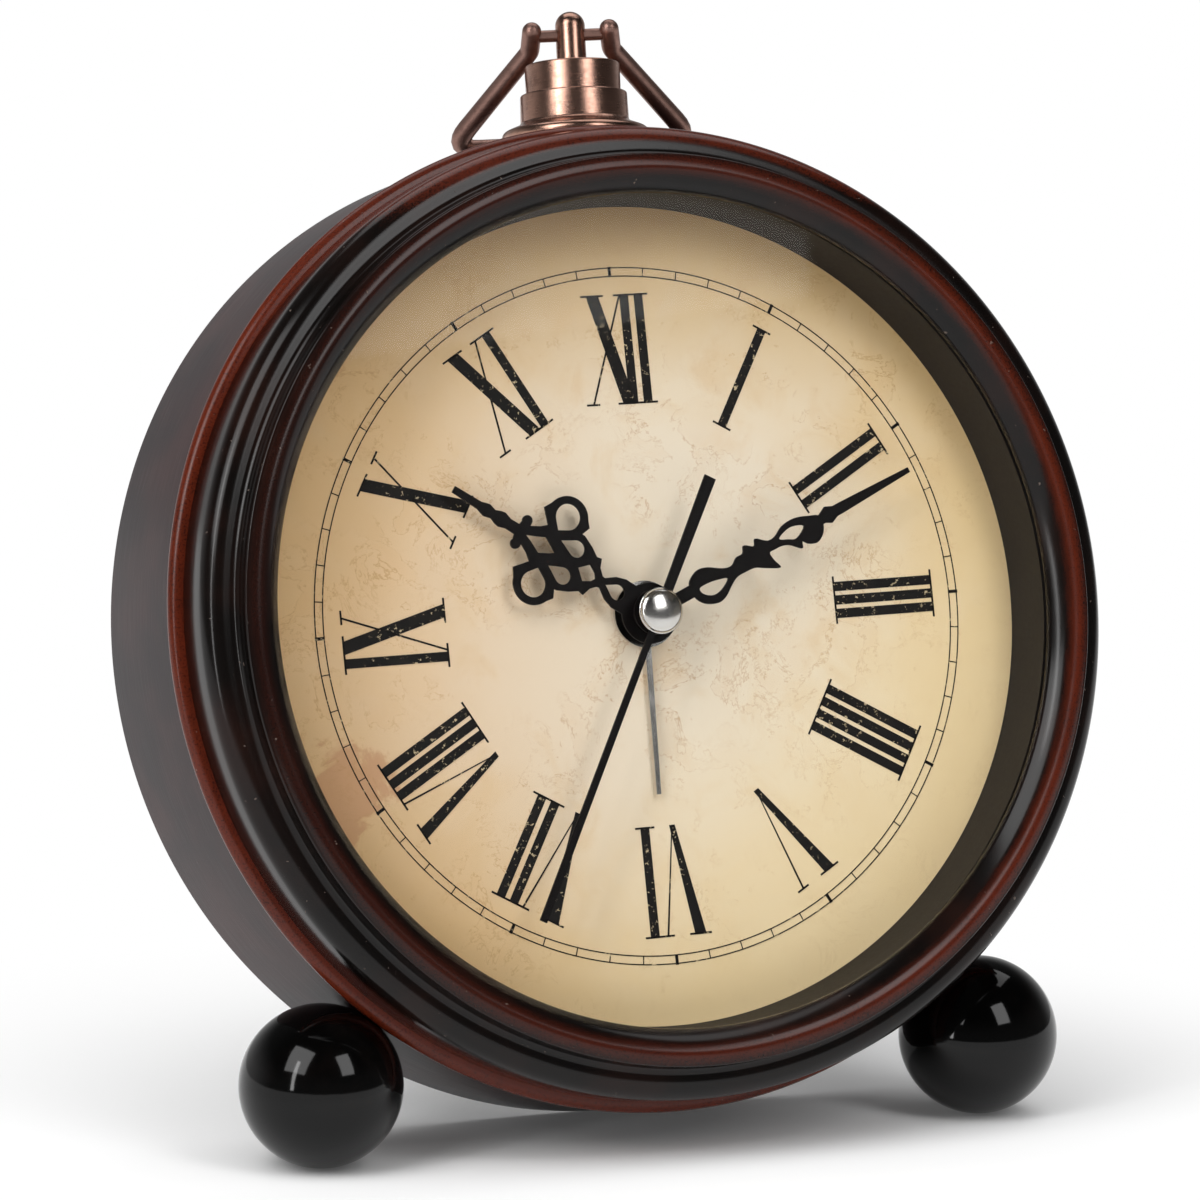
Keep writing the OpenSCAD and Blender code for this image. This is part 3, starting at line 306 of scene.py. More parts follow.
def bezel_paint(finish):
    """Near-black lacquer, rubbed through to red-brown on the rim and, less, on the crest."""
    paint = Paint("bezel_lacquer")
    band_from, band_full = 62.6, 63.3
    crest_at, crest_half, crest_from, crest_full = 57.9, 2.0, 11.2, 11.8
    broad = paint.noise(0.07, 3)
    fine = paint.noise(1, 4, 0.6, at=paint.vector(paint.turn * 18, paint.r * 1.2, paint.z * 1.2))
    grain = paint.noise(3.5, 3, 0.7)
    dust = paint.noise(1.1, 2).smooth(0.73, 0.77)
    ragged = (grain - 0.5) * 1.7 + (fine - 0.5) * 1.2
    upward = (paint.turn - math.pi / 2).math("COSINE")
    topmost, lowest = upward.smooth(0.55, 0.97), upward.smooth(-0.6, -0.95)
    reach = paint.z + ragged * (1 + topmost * 1.6) - topmost * 10.0 - lowest * 3.0
    rim = (reach / (1 + topmost * 2.0)).smooth(0.4, -0.8)
    rim = rim * (paint.r + topmost * 1.4).smooth(band_from, band_full)
    right_side = 0.5 + (paint.turn + 0.2).math("COSINE") * 0.5
    crest = (paint.r + ragged * 0.7).near(crest_at, crest_half)
    crest = crest * paint.z.smooth(crest_from, crest_full) * (0.1 + right_side * 0.8)
    patchy = 0.62 + grain.smooth(0.35, 0.6) * 0.4
    wear = ((rim * (1 - topmost * 0.3) + crest) * patchy).math("MINIMUM", 1)
    dark = grain.smooth(0.42, 0.66) * 0.75 + broad.smooth(0.45, 0.7) * 0.25
    body = paint.washes(
        finish.lacquer,
        (broad.smooth(0.4, 0.75), finish.lacquer_brown),
        (wear, paint.washes(finish.worn, (dark, finish.worn_dark))),
        (dust * 0.4, tone("8a7a70")),
    )
    return paint.surface(
        bump=grain * 0.25 + dust, reach=0.012, Base_Color=body,
        Roughness=0.13 + broad * 0.08 + wear * 0.08, Specular_IOR_Level=0.26)


def paper_paint(finish):
    """Aged dial paper: pale middle, tan edge, thin stain lines, blotches and foxing; painted shadow
    at the top, painted shade by the rim and painted light towards the lower right.
    """
    paint = Paint("dial_paper")
    x, y, r = paint.x, paint.y, paint.r
    cloud = paint.noise(0.035, 4, 0.6, 0.6)
    blotch = paint.noise(0.1, 5, 0.62, 0.8)
    level = paint.noise(0.13, 6, 0.66, 0.5)
    small = paint.noise(0.32, 5, 0.68, 0.4)
    fibre = paint.noise(3.2, 3)
    patches = paint.noise(0.05, 2).smooth(0.42, 0.6)
    small_patches = paint.noise(0.07, 2).smooth(0.46, 0.58)
    line = level.near(0.52, 0.012) * patches + small.near(0.6, 0.014) * small_patches
    tide = level.smooth(0.52, 0.57) * patches
    foxing = paint.noise(0.75, 3).smooth(0.68, 0.74) * paint.noise(0.05, 1).smooth(0.4, 0.58)
    stain_x, stain_y = -43.0, -21.0
    spot = ((x - stain_x) ** 2 + (y - stain_y) ** 2) ** 0.5 + (level - 0.5) * 16
    # Painted light: the paper is made lighter towards the lower right.
    tan_left, painted_light_low_right = x.smooth(8, -46), (x - y).smooth(8, 66)
    # Painted shadow: the bezel's shadow is painted as darker paper along the dial's top.
    painted_shadow_top = y.smooth(24, 58) * 0.3 + y.smooth(44, 57) * 0.42
    body = paint.washes(
        finish.paper,
        ((r + (cloud - 0.5) * 30).smooth(20, 57), finish.paper_edge),
        (tan_left * 0.55, tone("d6aa76")),
        (blotch.smooth(0.48, 0.72) * 0.4, tone("d9b888")),
        (cloud.smooth(0.58, 0.8) * 0.25, tone("f2e8d6")),
        (spot.smooth(6.0, 4.2) * 0.55, tone("b87a54")),
        (tide * 0.12, tone("cf9f62")),
        (line.math("MINIMUM", 1) * 0.6, finish.stain),
        (foxing * 0.5, finish.stain),
        # darker rim of the paper: partly its aged edge, partly painted shade under the bezel
        ((r + (blotch - 0.5) * 6).smooth(46, 56) * 0.2, tone("b88f52")),
        # painted light, lighter towards the lower right
        (painted_light_low_right * 0.58, tone("f6e2b4")),
        # painted shadow of the bezel along the top
        (painted_shadow_top, tone("8f6a3a")),
        (fibre * 0.12, tone("c4a878")),
    )
    return paint.surface(bump=fibre, reach=0.01, Base_Color=body, Roughness=0.62)


def ink_paint(finish):
    """Printing ink with pale specks where it has flaked."""
    paint = Paint("dial_ink")
    flake = paint.noise(1.3, 4, 0.7).smooth(0.6, 0.63) * paint.noise(0.13, 2).smooth(0.4, 0.52)
    faint = paint.noise(0.25, 3).smooth(0.45, 0.8)
    body = paint.washes(
        finish.ink, (faint * 0.3, tone("2a231d")), (flake * 0.8, tone("d8c49c")))
    return paint.surface(
        bump=flake, reach=0.01, Base_Color=body, Roughness=0.6, Specular_IOR_Level=0.25)


def hand_paint(finish):
    """Black paint with a fine grain and a few rusty specks."""
    paint = Paint("hand_black")
    grain = paint.noise(2.2, 3)
    speck = paint.noise(1.4, 3).smooth(0.7, 0.74)
    body = paint.washes(
        finish.hands, (grain * 0.5, tone("120d0c")), (speck * 0.25, tone("4a2418")))
    return paint.surface(
        bump=grain, reach=0.008, Base_Color=body, Roughness=0.4 + grain * 0.14,
        Specular_IOR_Level=0.15)


def copper_paint(name, plating, finish, depth, dull):
    """Brushed antique copper: turned lines and dark tarnish; dull is the least roughness."""
    paint = Paint(name)
    spin = (paint.z + depth).math("ARCTAN2", paint.x)
    line = paint.noise(1, 4, 0.65, at=paint.vector(spin * 1.2, paint.y * 8, 0.0))
    tarnish = paint.noise(0.5, 5, 0.65).smooth(0.45, 0.8)
    bright = tuple(min(1.0, c * 1.35) for c in plating)
    body = paint.washes(
        plating, (line.smooth(0.35, 0.7) * 0.35, bright), (tarnish * 0.5, finish.patina))
    return paint.surface(
        bump=line, reach=0.016, Base_Color=body, Metallic=1.0,
        Roughness=dull + line * 0.14 + tarnish * 0.08)


def ball_paint(finish):
    """Polished black with faint smears and hair scratches."""
    paint = Paint("gloss_black")
    smear = paint.noise(0.12, 4, 0.6)
    grooves = paint.vector(paint.x * 4, paint.y * 0.12, paint.z * 4)
    scratch = paint.noise(1, 2, at=grooves).smooth(0.7, 0.75)
    body = paint.washes(finish.ball, (smear.smooth(0.45, 0.7) * 0.5, tone("0d0908")))
    return paint.surface(
        bump=smear, reach=0.02, Base_Color=body,
        Roughness=0.05 + smear * 0.06 + scratch * 0.05, Specular_IOR_Level=0.28)


def glass_paint():
    """Clear flat glass: see-through, with the faint gloss of its face."""
    paint = Paint("clear_glass")
    smear = paint.noise(0.05, 3)
    clear = paint.add("ShaderNodeBsdfTransparent", None, {"Color": (1, 1, 1)})
    gloss = paint.add("ShaderNodeBsdfGlossy", None, {"Color": (1, 1, 1), "Roughness": 0.02})
    share = paint.add("ShaderNodeFresnel", None, {"IOR": 1.45}) * (0.08 + smear * 0.06)
    return paint.blend(share, clear, gloss)


def moulded_paint(name, code, rough=0.5, grain=1.6):
    """Moulded plastic with a fine grain."""
    paint = Paint(name)
    pebble = paint.noise(grain, 3)
    cloud = paint.noise(0.08, 3)
    base = tone(code)
    body = paint.washes(base, (cloud * 0.35, tuple(c * 0.7 for c in base)))
    return paint.surface(
        bump=pebble, reach=0.02, Base_Color=body, Roughness=rough + pebble * 0.15)


def metal_paint(name, code, rough=0.25, line=4.0):
    """Stamped or turned metal with fine lines and a few dull patches."""
    paint = Paint(name)
    lines = paint.noise(1, 3, at=paint.vector(paint.x * line, paint.y * 0.4, paint.z * line))
    dull = paint.noise(0.3, 3).smooth(0.5, 0.8)
    base = tone(code)
    body = paint.washes(base, (dull * 0.4, tuple(c * 0.6 for c in base)))
    return paint.surface(
        bump=lines, reach=0.006, Base_Color=body, Metallic=1.0,
        Roughness=rough + lines * 0.12 + dull * 0.1)


def rectangle(left, right, low, high):
    """Corners of a rectangle."""
    return [(left, low), (right, low), (right, high), (left, high)]


def arc(centre, radius, start, end, steps):
    """Points of an arc in degrees."""
    turns = [math.radians(start + (end - start) * i / steps) for i in range(steps + 1)]
    return [(centre[0] + radius * math.cos(t), centre[1] + radius * math.sin(t)) for t in turns]


def bend(start, first, second, end, steps):
    """Points of a smooth curve from start to end, drawn towards the two points between them."""
    shares = [i / steps for i in range(steps + 1)]
    return [tuple(a * (1 - t) ** 3 + 3 * b * t * (1 - t) ** 2 + 3 * c * t * t * (1 - t) + d * t ** 3
                  for a, b, c, d in zip(start, first, second, end)) for t in shares]


def lathe(profile, segments=256, place=None):
    """A closed section (radius, height) turned about Z, then placed in the bench frame."""
    mesh = bmesh.new()
    rings = []
    for i in range(segments):
        turn = 2 * math.pi * i / segments
        cosine, sine = math.cos(turn), math.sin(turn)
        rings.append([mesh.verts.new((r * cosine, r * sine, z)) for r, z in profile])
    count = len(profile)
    for i, ring in enumerate(rings):
        after = rings[(i + 1) % segments]
        for k in range(count):
            n = (k + 1) % count
            if profile[k][0] == 0 and profile[n][0] == 0:
                continue
            mesh.faces.new((ring[k], after[k], after[n], ring[n]))
    bmesh.ops.remove_doubles(mesh, verts=mesh.verts, dist=1e-5)
    bmesh.ops.dissolve_degenerate(mesh, edges=mesh.edges, dist=1e-6)
    bmesh.ops.recalc_face_normals(mesh, faces=mesh.faces)
    if place is not None:
        mesh.transform(place)
    return mesh


def sweep(points, radii, segments):
    """A round tube with closed ends along points in one plane, with a radius at each point."""
    mesh = bmesh.new()
    rings = []
    side = Vector((0, 0, 1))
    for i, point in enumerate(points):
        ahead = points[min(i + 1, len(points) - 1)] - points[max(i - 1, 0)]
        across = ahead.normalized().cross(side)
        turns = [2 * math.pi * k / segments for k in range(segments)]
        spokes = [across * math.cos(t) + side * math.sin(t) for t in turns]
        rings.append([mesh.verts.new(point + spoke * radii[i]) for spoke in spokes])
    for first, second in zip(rings, rings[1:]):
        for k in range(segments):
            n = (k + 1) % segments
            mesh.faces.new((first[k], first[n], second[n], second[k]))
    mesh.faces.new(rings[0])
    mesh.faces.new(rings[-1])
    bmesh.ops.recalc_face_normals(mesh, faces=mesh.faces)
    return mesh


def prism(mesh, outline, low, high):
    """Adds a flat plate with that outline to the mesh, from low to high."""
    bottom = [mesh.verts.new((x, y, low)) for x, y in outline]
    top = [mesh.verts.new((x, y, high)) for x, y in outline]
    mesh.faces.new(top)
    mesh.faces.new(bottom)
    for i in range(len(outline)):
        n = (i + 1) % len(outline)
        mesh.faces.new((bottom[i], bottom[n], top[n], top[i]))


def join(meshes):
    """One mesh out of several."""
    whole = bmesh.new()
    for mesh in meshes:
        part = bpy.data.meshes.new("part")
        mesh.to_mesh(part)
        mesh.free()
        whole.from_mesh(part)
        bpy.data.meshes.remove(part)
    return whole


def loose(mesh, name):
    """The mesh as an object of the scene; the mesh is used up."""
    data = bpy.data.meshes.new(name)
    mesh.to_mesh(data)
    mesh.free()
    thing = bpy.data.objects.new(name, data)
    bpy.context.scene.collection.objects.link(thing)
    return thing


def baked(thing, *others):
    """The object's mesh with its modifiers applied; it and the others are removed."""
    bpy.context.view_layer.update()
    graph = bpy.context.evaluated_depsgraph_get()
    data = bpy.data.meshes.new_from_object(thing.evaluated_get(graph))
    whole = bmesh.new()
    whole.from_mesh(data)
    for used in (thing,) + others:
        bpy.data.objects.remove(used)
    bpy.data.meshes.remove(data)
    return whole


def piece(name, mesh, paint, body, nodes=(), sharp=32):
    """Stands a bench-frame mesh up as a piece that rides on a body."""
    mesh.transform(BENCH)
    thing = loose(mesh, name)
    thing.data.shade_smooth()
    thing.data.set_sharp_from_angle(angle=math.radians(sharp))
    thing.data.materials.append(paint)
    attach(thing, body)
    if nodes:
        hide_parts(*nodes)


def dress(paint, *names):
    """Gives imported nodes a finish; their shapes stay as they are."""
    for name in names:
        data = frame["nodes"][name].data
        data.materials.clear()
        data.materials.append(paint)


def ring_tree():
    """Geometry Nodes tree: copies of an object round a circle, each turned to face outwards."""
    tree = bpy.data.node_groups.new("ring_of_copies", "GeometryNodeTree")
    sockets = {}
    for name, kind in (("Copy", "NodeSocketObject"), ("Count", "NodeSocketInt"),
                       ("Radius", "NodeSocketFloat"), ("First Turn", "NodeSocketFloat"),
                       ("Finish", "NodeSocketMaterial")):
        socket = tree.interface.new_socket(name=name, in_out="INPUT", socket_type=kind)
        sockets[name] = socket.identifier
    tree.interface.new_socket(name="Geometry", in_out="OUTPUT", socket_type="NodeSocketGeometry")

    nodes, group = Nodes(tree), tree.nodes.new("NodeGroupInput")
    copy, count, radius, first, finish = (Flow(nodes, group.outputs[name]) for name in sockets)
    share = nodes.add("GeometryNodeInputIndex") / count
    turn = share.math("MULTIPLY_ADD", 2 * math.pi, first)
    x, y = turn.math("COSINE") * radius, turn.math("SINE") * radius
    at = nodes.add("ShaderNodeCombineXYZ", None, {0: x, 1: y})
    spin = nodes.add("ShaderNodeCombineXYZ", None, {2: turn})
    points = nodes.add("GeometryNodePoints", None, {"Count": count, "Position": at})
    shape = nodes.add("GeometryNodeObjectInfo", {"transform_space": "ORIGINAL"},
                      {"Object": copy}, out="Geometry")
    copies = nodes.add("GeometryNodeInstanceOnPoints", None, {
        "Points": points, "Instance": shape, "Rotation": spin})
    real = nodes.add("GeometryNodeRealizeInstances", None, {0: copies})
    dressed = nodes.add("GeometryNodeSetMaterial", None, {"Geometry": real, "Material": finish})
    nodes.feed(tree.nodes.new("NodeGroupOutput").inputs[0], dressed)
    return tree, sockets


def ring_of(name, copy, count, radius, first, paint):
    """A mesh of copies round a circle, baked from the ring tree; the copy is used up."""
    tree, sockets = ring_tree()
    source, holder = loose(copy, name + "_copy"), loose(bmesh.new(), name + "_ring")
    maker = holder.modifiers.new("Ring", "NODES")
    maker.node_group = tree
    for key, value in (("Copy", source), ("Count", count), ("Radius", float(radius)),
                       ("First Turn", float(first)), ("Finish", paint)):
        maker[sockets[key]] = value
    return baked(holder, source)


def bezel_section(size):
    """The bezel's section: rim bead, band, shoulder, cove, crown, crest and lip."""
    s = {key: getattr(size, key) / MM for key in ClockSizes.__annotations__}
    rim, bead, front = s["rim_radius"], s["bead_radius"], s["drum_front"]
    band, band_h, shoulder = s["band_radius"], s["band_height"], s["shoulder_radius"]
    crown, crown_h = s["crown_radius"], s["crown_height"]
    lip, glass = s["lip_radius"], s["glass_top"]
    skirt, skirt_in, skirt_end = 63.75, 62.25, -9.5
    seat, step, under, cove, rounding = lip + 1.3, 58, band_h - 2, 1.1, 0.3
    edge, groove = lip - 0.7, 2 * bead - front
    crest = bend((crown - rounding, crown_h), (crown - 1.7, crown_h + 0.75),
                 (lip + 1.3, crown_h + 0.6), (edge + 0.12, glass + 0.8), 24)
    return (
        [(skirt, skirt_end), (skirt, -front)]
        + arc((rim - bead, bead - front), bead, -90, 90, 18)
        + [(band - 0.5, groove + 0.15), (band - 0.12, groove + 0.25), (band, groove + 0.6)]
        + arc((band - shoulder, band_h - shoulder), shoulder, 0, 90, 16)
        + arc((crown + cove, band_h + cove), cove, 270, 180, 12)
        + arc((crown - rounding, crown_h - rounding), rounding, 0, 80, 6)
        + crest
        + [(edge, glass + 0.5), (edge, glass), (seat, glass), (seat, 0), (step, 0)]
        + [(step, under), (skirt_in, under), (skirt_in, skirt_end)]
    )


def drum_section(size):
    """The drum's sheet with a rolled rear edge turned in over the cover."""
    outer, back, front = size.drum_radius / MM, size.drum_back / MM, size.drum_front / MM
    wall, lip, roll = 0.8, 2.4, 0.6
    return (
        [(outer - wall, -front), (outer, -front)]
        + arc((outer - roll, roll - back), roll, 0, -90, 8)
        + [(outer - lip, -back), (outer - lip, wall - back), (outer - wall, wall - back)]
    )


# Letters of the numerals from twelve on, each with its middle off the hour's line.
NUMERALS = (
    (("X", -0.9), ("I", 1.7), ("I", 3.75)),
    (("I", 0),),
    (("I", -1.1), ("I", 1.1)),
    (("I", -1.8), ("I", 0), ("I", 1.8)),
    (("I", -2.7), ("I", -0.9), ("I", 0.9), ("I", 2.7)),
    (("V", 0),),
    (("V", -1.4), ("I", 2.75)),
    (("V", -2.5), ("I", 1.2), ("I", 3.2)),
    (("V", -3.4), ("I", 0.1), ("I", 1.9), ("I", 3.7)),
    (("I", -3.5), ("X", 0.5)),
    (("X", 0),),
    (("X", -0.6), ("I", 3.1)),
)
# Strokes of the letters: the head's and the foot's place, the width, and which ends have serifs.
STROKES = {
    "I": ((0, 0, 1.25, True, True),),
    "X": ((-2, 2, 1.75, True, True), (2, -3.2, 0.26, True, True)),
    "V": ((-2.4, 0.25, 1.6, True, False), (2.3, 0.25, 0.26, True, False)),
}


def numeral_mesh(size):
    """Roman numerals with their heads outwards, as thin plates of ink."""
    mesh = bmesh.new()
    foot, head = size.numeral_foot / MM, size.numeral_head / MM
    serif, broad_over, fine_over = 0.26, 0.75, 0.8
    lift, thick = 0.01, 0.045
    for hour, glyphs in enumerate(NUMERALS):
        way = math.radians(30 * hour) + size.print_turn
        sine, cosine = math.sin(way), math.cos(way)
        for glyph, middle in glyphs:
            for top, bottom, wide, head_bar, foot_bar in STROKES[glyph]:
                top, bottom, half = top + middle, bottom + middle, wide / 2
                tip = half if foot_bar else half * 0.5
                plates = [[(bottom - tip, foot), (bottom + tip, foot),
                           (top + half, head), (top - half, head)]]
                reach = half + (broad_over if wide > 1 else fine_over)
                for bar, at, low in ((head_bar, top, head - serif), (foot_bar, bottom, foot)):
                    if bar:
                        plates.append(rectangle(at - reach, at + reach, low, low + serif))
                for plate in plates:
                    outline = [(out * sine + across * cosine, out * cosine - across * sine)
                               for across, out in plate]
                    prism(mesh, outline, lift, lift + thick)
    bmesh.ops.recalc_face_normals(mesh, faces=mesh.faces)
    return mesh


def press_on_drum(mesh, size):
    """Seats a mesh on the drum: nothing of it stays inside the drum's outside."""
    clear = 0.1
    drum, rim, front = size.drum_radius / MM, size.rim_radius / MM + clear, size.drum_front / MM
    for vert in mesh.verts:
        x, y, z = vert.co
        limit = rim if z > -front - clear else drum
        reach = math.hypot(x, y)
        if reach < limit:
            vert.co.x *= limit / reach
            vert.co.y *= limit / reach


def ball_mesh(size, side):
    """A ball foot, flattened where it meets the drum."""
    radius = size.ball_radius / MM
    mesh = lathe(arc((0, 0), radius, -90, 90, 64), 128)
    reach, turn = size.ball_reach / MM, size.ball_angle
    place = (side * reach * math.sin(turn), -reach * math.cos(turn), -size.ball_depth / MM)
    mesh.transform(Matrix.Translation(place))
    press_on_drum(mesh, size)
    return mesh


def handle_place(size):
    """The handle's own frame: Y along its axis, X along the bail's cross wire."""
    return (
        Matrix.Translation((0, 0, -size.handle_depth / MM))
        @ Matrix.Rotation(-size.handle_turn, 4, "Z") @ Matrix.Rotation(-size.eye_turn, 4, "Y"))


def upright(size):
    """Places a turned piece of the handle on the drum's top."""
    return handle_place(size) @ Matrix.Rotation(math.radians(-90), 4, "X")


# Radii and heights of the handle in millimetres, the heights from the drum's centre line.
HANDLE = {"flange": 9.9, "flange_top": 67.5, "lip": 0.95, "low": 7.15, "top": 6.4, "turn": 3.95,
          "pivot": 79.4, "eye": 2.0, "eye_top": 82.6, "bore": 0.9}


def pivot_place(size):
    """The handle's frame moved up to the bail's cross wire."""
    return handle_place(size) @ Matrix.Translation((0, HANDLE["pivot"], 0))


def flange_mesh(size):
    """The flange: a foot that sits on the drum under a rounded lip."""
    top, reach, low, lip = HANDLE["flange_top"], HANDLE["flange"], HANDLE["low"], HANDLE["lip"]
    under = size.drum_radius / MM + 0.15
    hole, inset, fillet = 2, 2, 1.2
    section = (
        [(hole, under - inset), (reach - inset, under - inset), (reach - inset, under)]
        + arc((reach - lip, under + lip), lip, -90, 70, 14)
        + arc((low + fillet, top + 0.75), fillet, 255, 200, 6)
        + [(low, top), (hole, top)]
    )
    mesh = lathe(section, 160, upright(size))
    press_on_drum(mesh, size)
    return mesh


def bored(mesh, tool):
    """The mesh with the tool's room cut out of it; both meshes are used up."""
    solid, room = loose(mesh, "solid"), loose(tool, "room")
    cut = solid.modifiers.new("Bore", "BOOLEAN")
    cut.operation, cut.solver, cut.object = "DIFFERENCE", "EXACT", room
    return baked(solid, room)


def post_mesh(size):
    """Two turned steps under a domed eye that carries the bail."""
    base, low, top, turn = HANDLE["flange_top"], HANDLE["low"], HANDLE["top"], HANDLE["turn"]
    seam, crown = base + turn, base + 2 * turn
    eye, eye_top = HANDLE["eye"], HANDLE["eye_top"]
    rounding, fillet, bore_half = 0.3, 0.5, 5
    section = (
        [(0, base), (low + 0.15, base)]
        + arc((low - 0.25, seam - 0.35), rounding, 0, 90, 5)
        + [(top + 0.02, seam - 0.12), (top - 0.02, seam + 0.08)]
        + arc((top - rounding, crown - rounding), rounding, 0, 90, 5)
        + arc((eye + fillet, crown + fillet), fillet, 270, 180, 5)
        + arc((0, eye_top - eye), eye, 0, 90, 16)
    )
    section[-1] = (0, eye_top)
    along_wire = pivot_place(size) @ Matrix.Rotation(math.pi / 2, 4, "Y")
    bore = lathe(rectangle(0, HANDLE["bore"], -bore_half, bore_half), 48, along_wire)
    return bored(lathe(section, 160, upright(size)), bore)


def rounded_path(corners, radius, steps=8):
    """A path through the corners with each inner corner rounded by about the radius."""
    path = [Vector(corners[0])]
    for before, corner, after in zip(corners, corners[1:], corners[2:]):
        corner = Vector(corner)
        into = (corner - Vector(before)).normalized()
        out = (Vector(after) - corner).normalized()
        turn = math.acos(max(-1, min(1, into.dot(out))))
        cut = radius * math.tan(turn / 2)
        start, end = corner - into * cut, corner + out * cut
        for i in range(steps + 1):
            t = i / steps
            path.append(start * (1 - t) ** 2 + corner * 2 * t * (1 - t) + end * t * t)
    path.append(Vector(corners[-1]))
    return path


def bail_mesh(size):
    """The bail wire: ears, straight arms, rounded corners and a cross wire through the eye."""
    ear, drop, tip, splay = 5.2, 2.3, 0.8, 0.3
    ear_r, arm_r, corner_r, pin_r = 1.3, 1.15, 1.35, 0.82
    rounding, corner_reach, taper, clear = 2.0, 2.5, 3, 0.3
    corner, low = size.bail_width / 2 / MM + splay, -size.bail_length / MM
    right = rounded_path(
        [(ear, tip, 0), (ear + splay, -drop, 0), (corner, low, 0), (0, low, 0)], rounding)
    cap = [Vector((ear, tip + ear_r * math.cos(math.radians(a)), 0)) for a in (8, 25, 42, 60, 75)]
    half = cap + right
    points = half + [Vector((-p.x, p.y, p.z)) for p in reversed(half[:-1])]
    radii = []
    for p in points:
        if p.y > tip + 1e-6:
            radii.append(math.sqrt(ear_r ** 2 - (p.y - tip) ** 2))
        elif abs(p.x) > corner - corner_reach:
            radii.append(corner_r)
        else:
            fade = min(1.0, max(0.0, (-drop - p.y) / taper))
            radii.append(ear_r + (arm_r - ear_r) * fade)
    loop = sweep(points, radii, 24)
    wire = sweep([Vector((x, 0, 0)) for x in (-ear, -2, 2, ear)], [pin_r] * 4, 20)
    mesh = join([loop, wire])
    rest = math.asin((HANDLE["flange"] + arm_r + clear) / (size.bail_length / MM))
    mesh.transform(pivot_place(size) @ Matrix.Rotation(rest, 4, "X"))
    return mesh


def knob_mesh(size, name, at, paint):
    """A setting knob: a domed body with a ring of ribs."""
    radius, low, high = size.knob_radius / MM - 0.25, -31.7, -26.7
    hole, dome, bevel, dish, ribs_round = 1.2, 0.8, 0.4, 0.35, 30
    section = (
        [(hole, high), (radius - bevel, high), (radius, high - bevel), (radius, low + dome)]
        + arc((radius - dome, low + dome), dome, 0, -90, 6)
        + [(radius - 2.2, low), (radius - 2.6, low + dish), (hole, low + dish)]
    )
    body = lathe(section, 96)
    rib = bmesh.new()
    root, flank, tip, half = -0.3, 0.1, 0.25, 0.42
    outline = [(root, -half), (flank, -half), (tip, 0), (flank, half), (root, half)]
    prism(rib, outline, low + 0.7, high - 0.25)
    bmesh.ops.recalc_face_normals(rib, faces=rib.faces)
    ribs = ring_of(name, rib, ribs_round, radius, 0.0, paint)
    mesh = join([body, ribs])
    mesh.transform(Matrix.Translation((at[0], at[1], 0)))
    return mesh


class ClockOperator(bpy.types.Operator):
    """Shared parts of the clock's operators."""

    bl_options = {"REGISTER", "UNDO"}

    @staticmethod
    def values(context):
        """The clock's sizes and finishes."""
        return context.scene.clock_sizes, context.scene.clock_finishes


class CLOCK_OT_case(ClockOperator):
    """Build the drum, the bezel, the spacer and the glass"""

    bl_idname = "clock.case"
    bl_label = "Case"

    def execute(self, context):
        size, finish = self.values(context)
        drum, bezel = lathe(drum_section(size), 320), lathe(bezel_section(size), 384)
        piece("drum_shell", drum, drum_paint(finish), "case", ["case_drum"])
        piece("bezel_ring", bezel, bezel_paint(finish), "case", ["bezel"], 40)
        lip, low, glass_thick = size.lip_radius / MM, 0.02, 1.6
        inner, outer, top = lip - 1.2, lip + 1.2, size.glass_top / MM - glass_thick
        section = [(inner, low), (lip - 1.05, 0.6), (lip - 0.3, top), (outer, top), (outer, low)]
        paint = moulded_paint("spacer_grey", "120d0b", 0.55)
        piece("spacer_slope", lathe(section), paint, "case", ["spacer_ring"])
        dress(glass_paint(), "glass_lens")
        return {"FINISHED"}


class CLOCK_OT_dial(ClockOperator):
    """Build the aged dial and its printing"""

    bl_idname = "clock.dial"
    bl_label = "Dial"

    def execute(self, context):
        size, finish = self.values(context)
        paper, ink = paper_paint(finish), ink_paint(finish)
        hole, thick = 4.1, 0.8
        sheet = lathe(rectangle(hole, size.dial_radius / MM, 0, -thick))
        piece("dial_sheet", sheet, paper, "case", ["dial_plate"])
        piece("dial_numerals", numeral_mesh(size), ink, "case")
        outer, inner = size.ring_outer / MM, size.ring_inner / MM
        low, high, line = 0.01, 0.05, 0.15
        rings = [lathe(rectangle(r - line, r, low, high)) for r in (outer, inner + line)]
        first = math.radians(90) - size.print_turn
        middle, span = (outer + inner) / 2, (outer - inner) / 2
        for name, count, wide, over in (("minute", 60, 0.14, 0.0), ("hour", 12, 0.42, 0.1)):
            mark = bmesh.new()
            half = wide / 2
            prism(mark, rectangle(-span, span + over, -half, half), low, high)
            bmesh.ops.recalc_face_normals(mark, faces=mark.faces)
            rings.append(ring_of(name, mark, count, middle, first, ink))
        piece("dial_minute_ring", join(rings), ink, "case")
        return {"FINISHED"}


class CLOCK_OT_hands(ClockOperator):
    """Finish the hands and the domed cap"""

    bl_idname = "clock.hands"
    bl_label = "Hands"

    def execute(self, context):
        finish = self.values(context)[1]
        dress(hand_paint(finish), "hour_hand", "minute_hand", "second_hand")
        silver = metal_paint("polished_silver", "d6d4d0", 0.12, 2.0)
        dress(silver, "alarm_hand")
        top, radius, high, brim, bevel = 5.8, 3.05, 1.4, 0.35, 0.08
        turns = [math.radians(a) for a in range(0, 91, 5)]
        dome = [((radius - 0.12) * math.cos(t), top + brim + (high - brim) * math.sin(t))
                for t in turns]
        dome[-1] = (0.0, top + high)
        section = [(0.0, top), (radius - bevel, top), (radius, top + bevel),
                   (radius, top + 0.26), (radius - bevel, top + 0.34)] + dome
        piece("hand_dome", lathe(section, 128), silver, "second_hand",
              ["hand_cap"], 40)
        return {"FINISHED"}


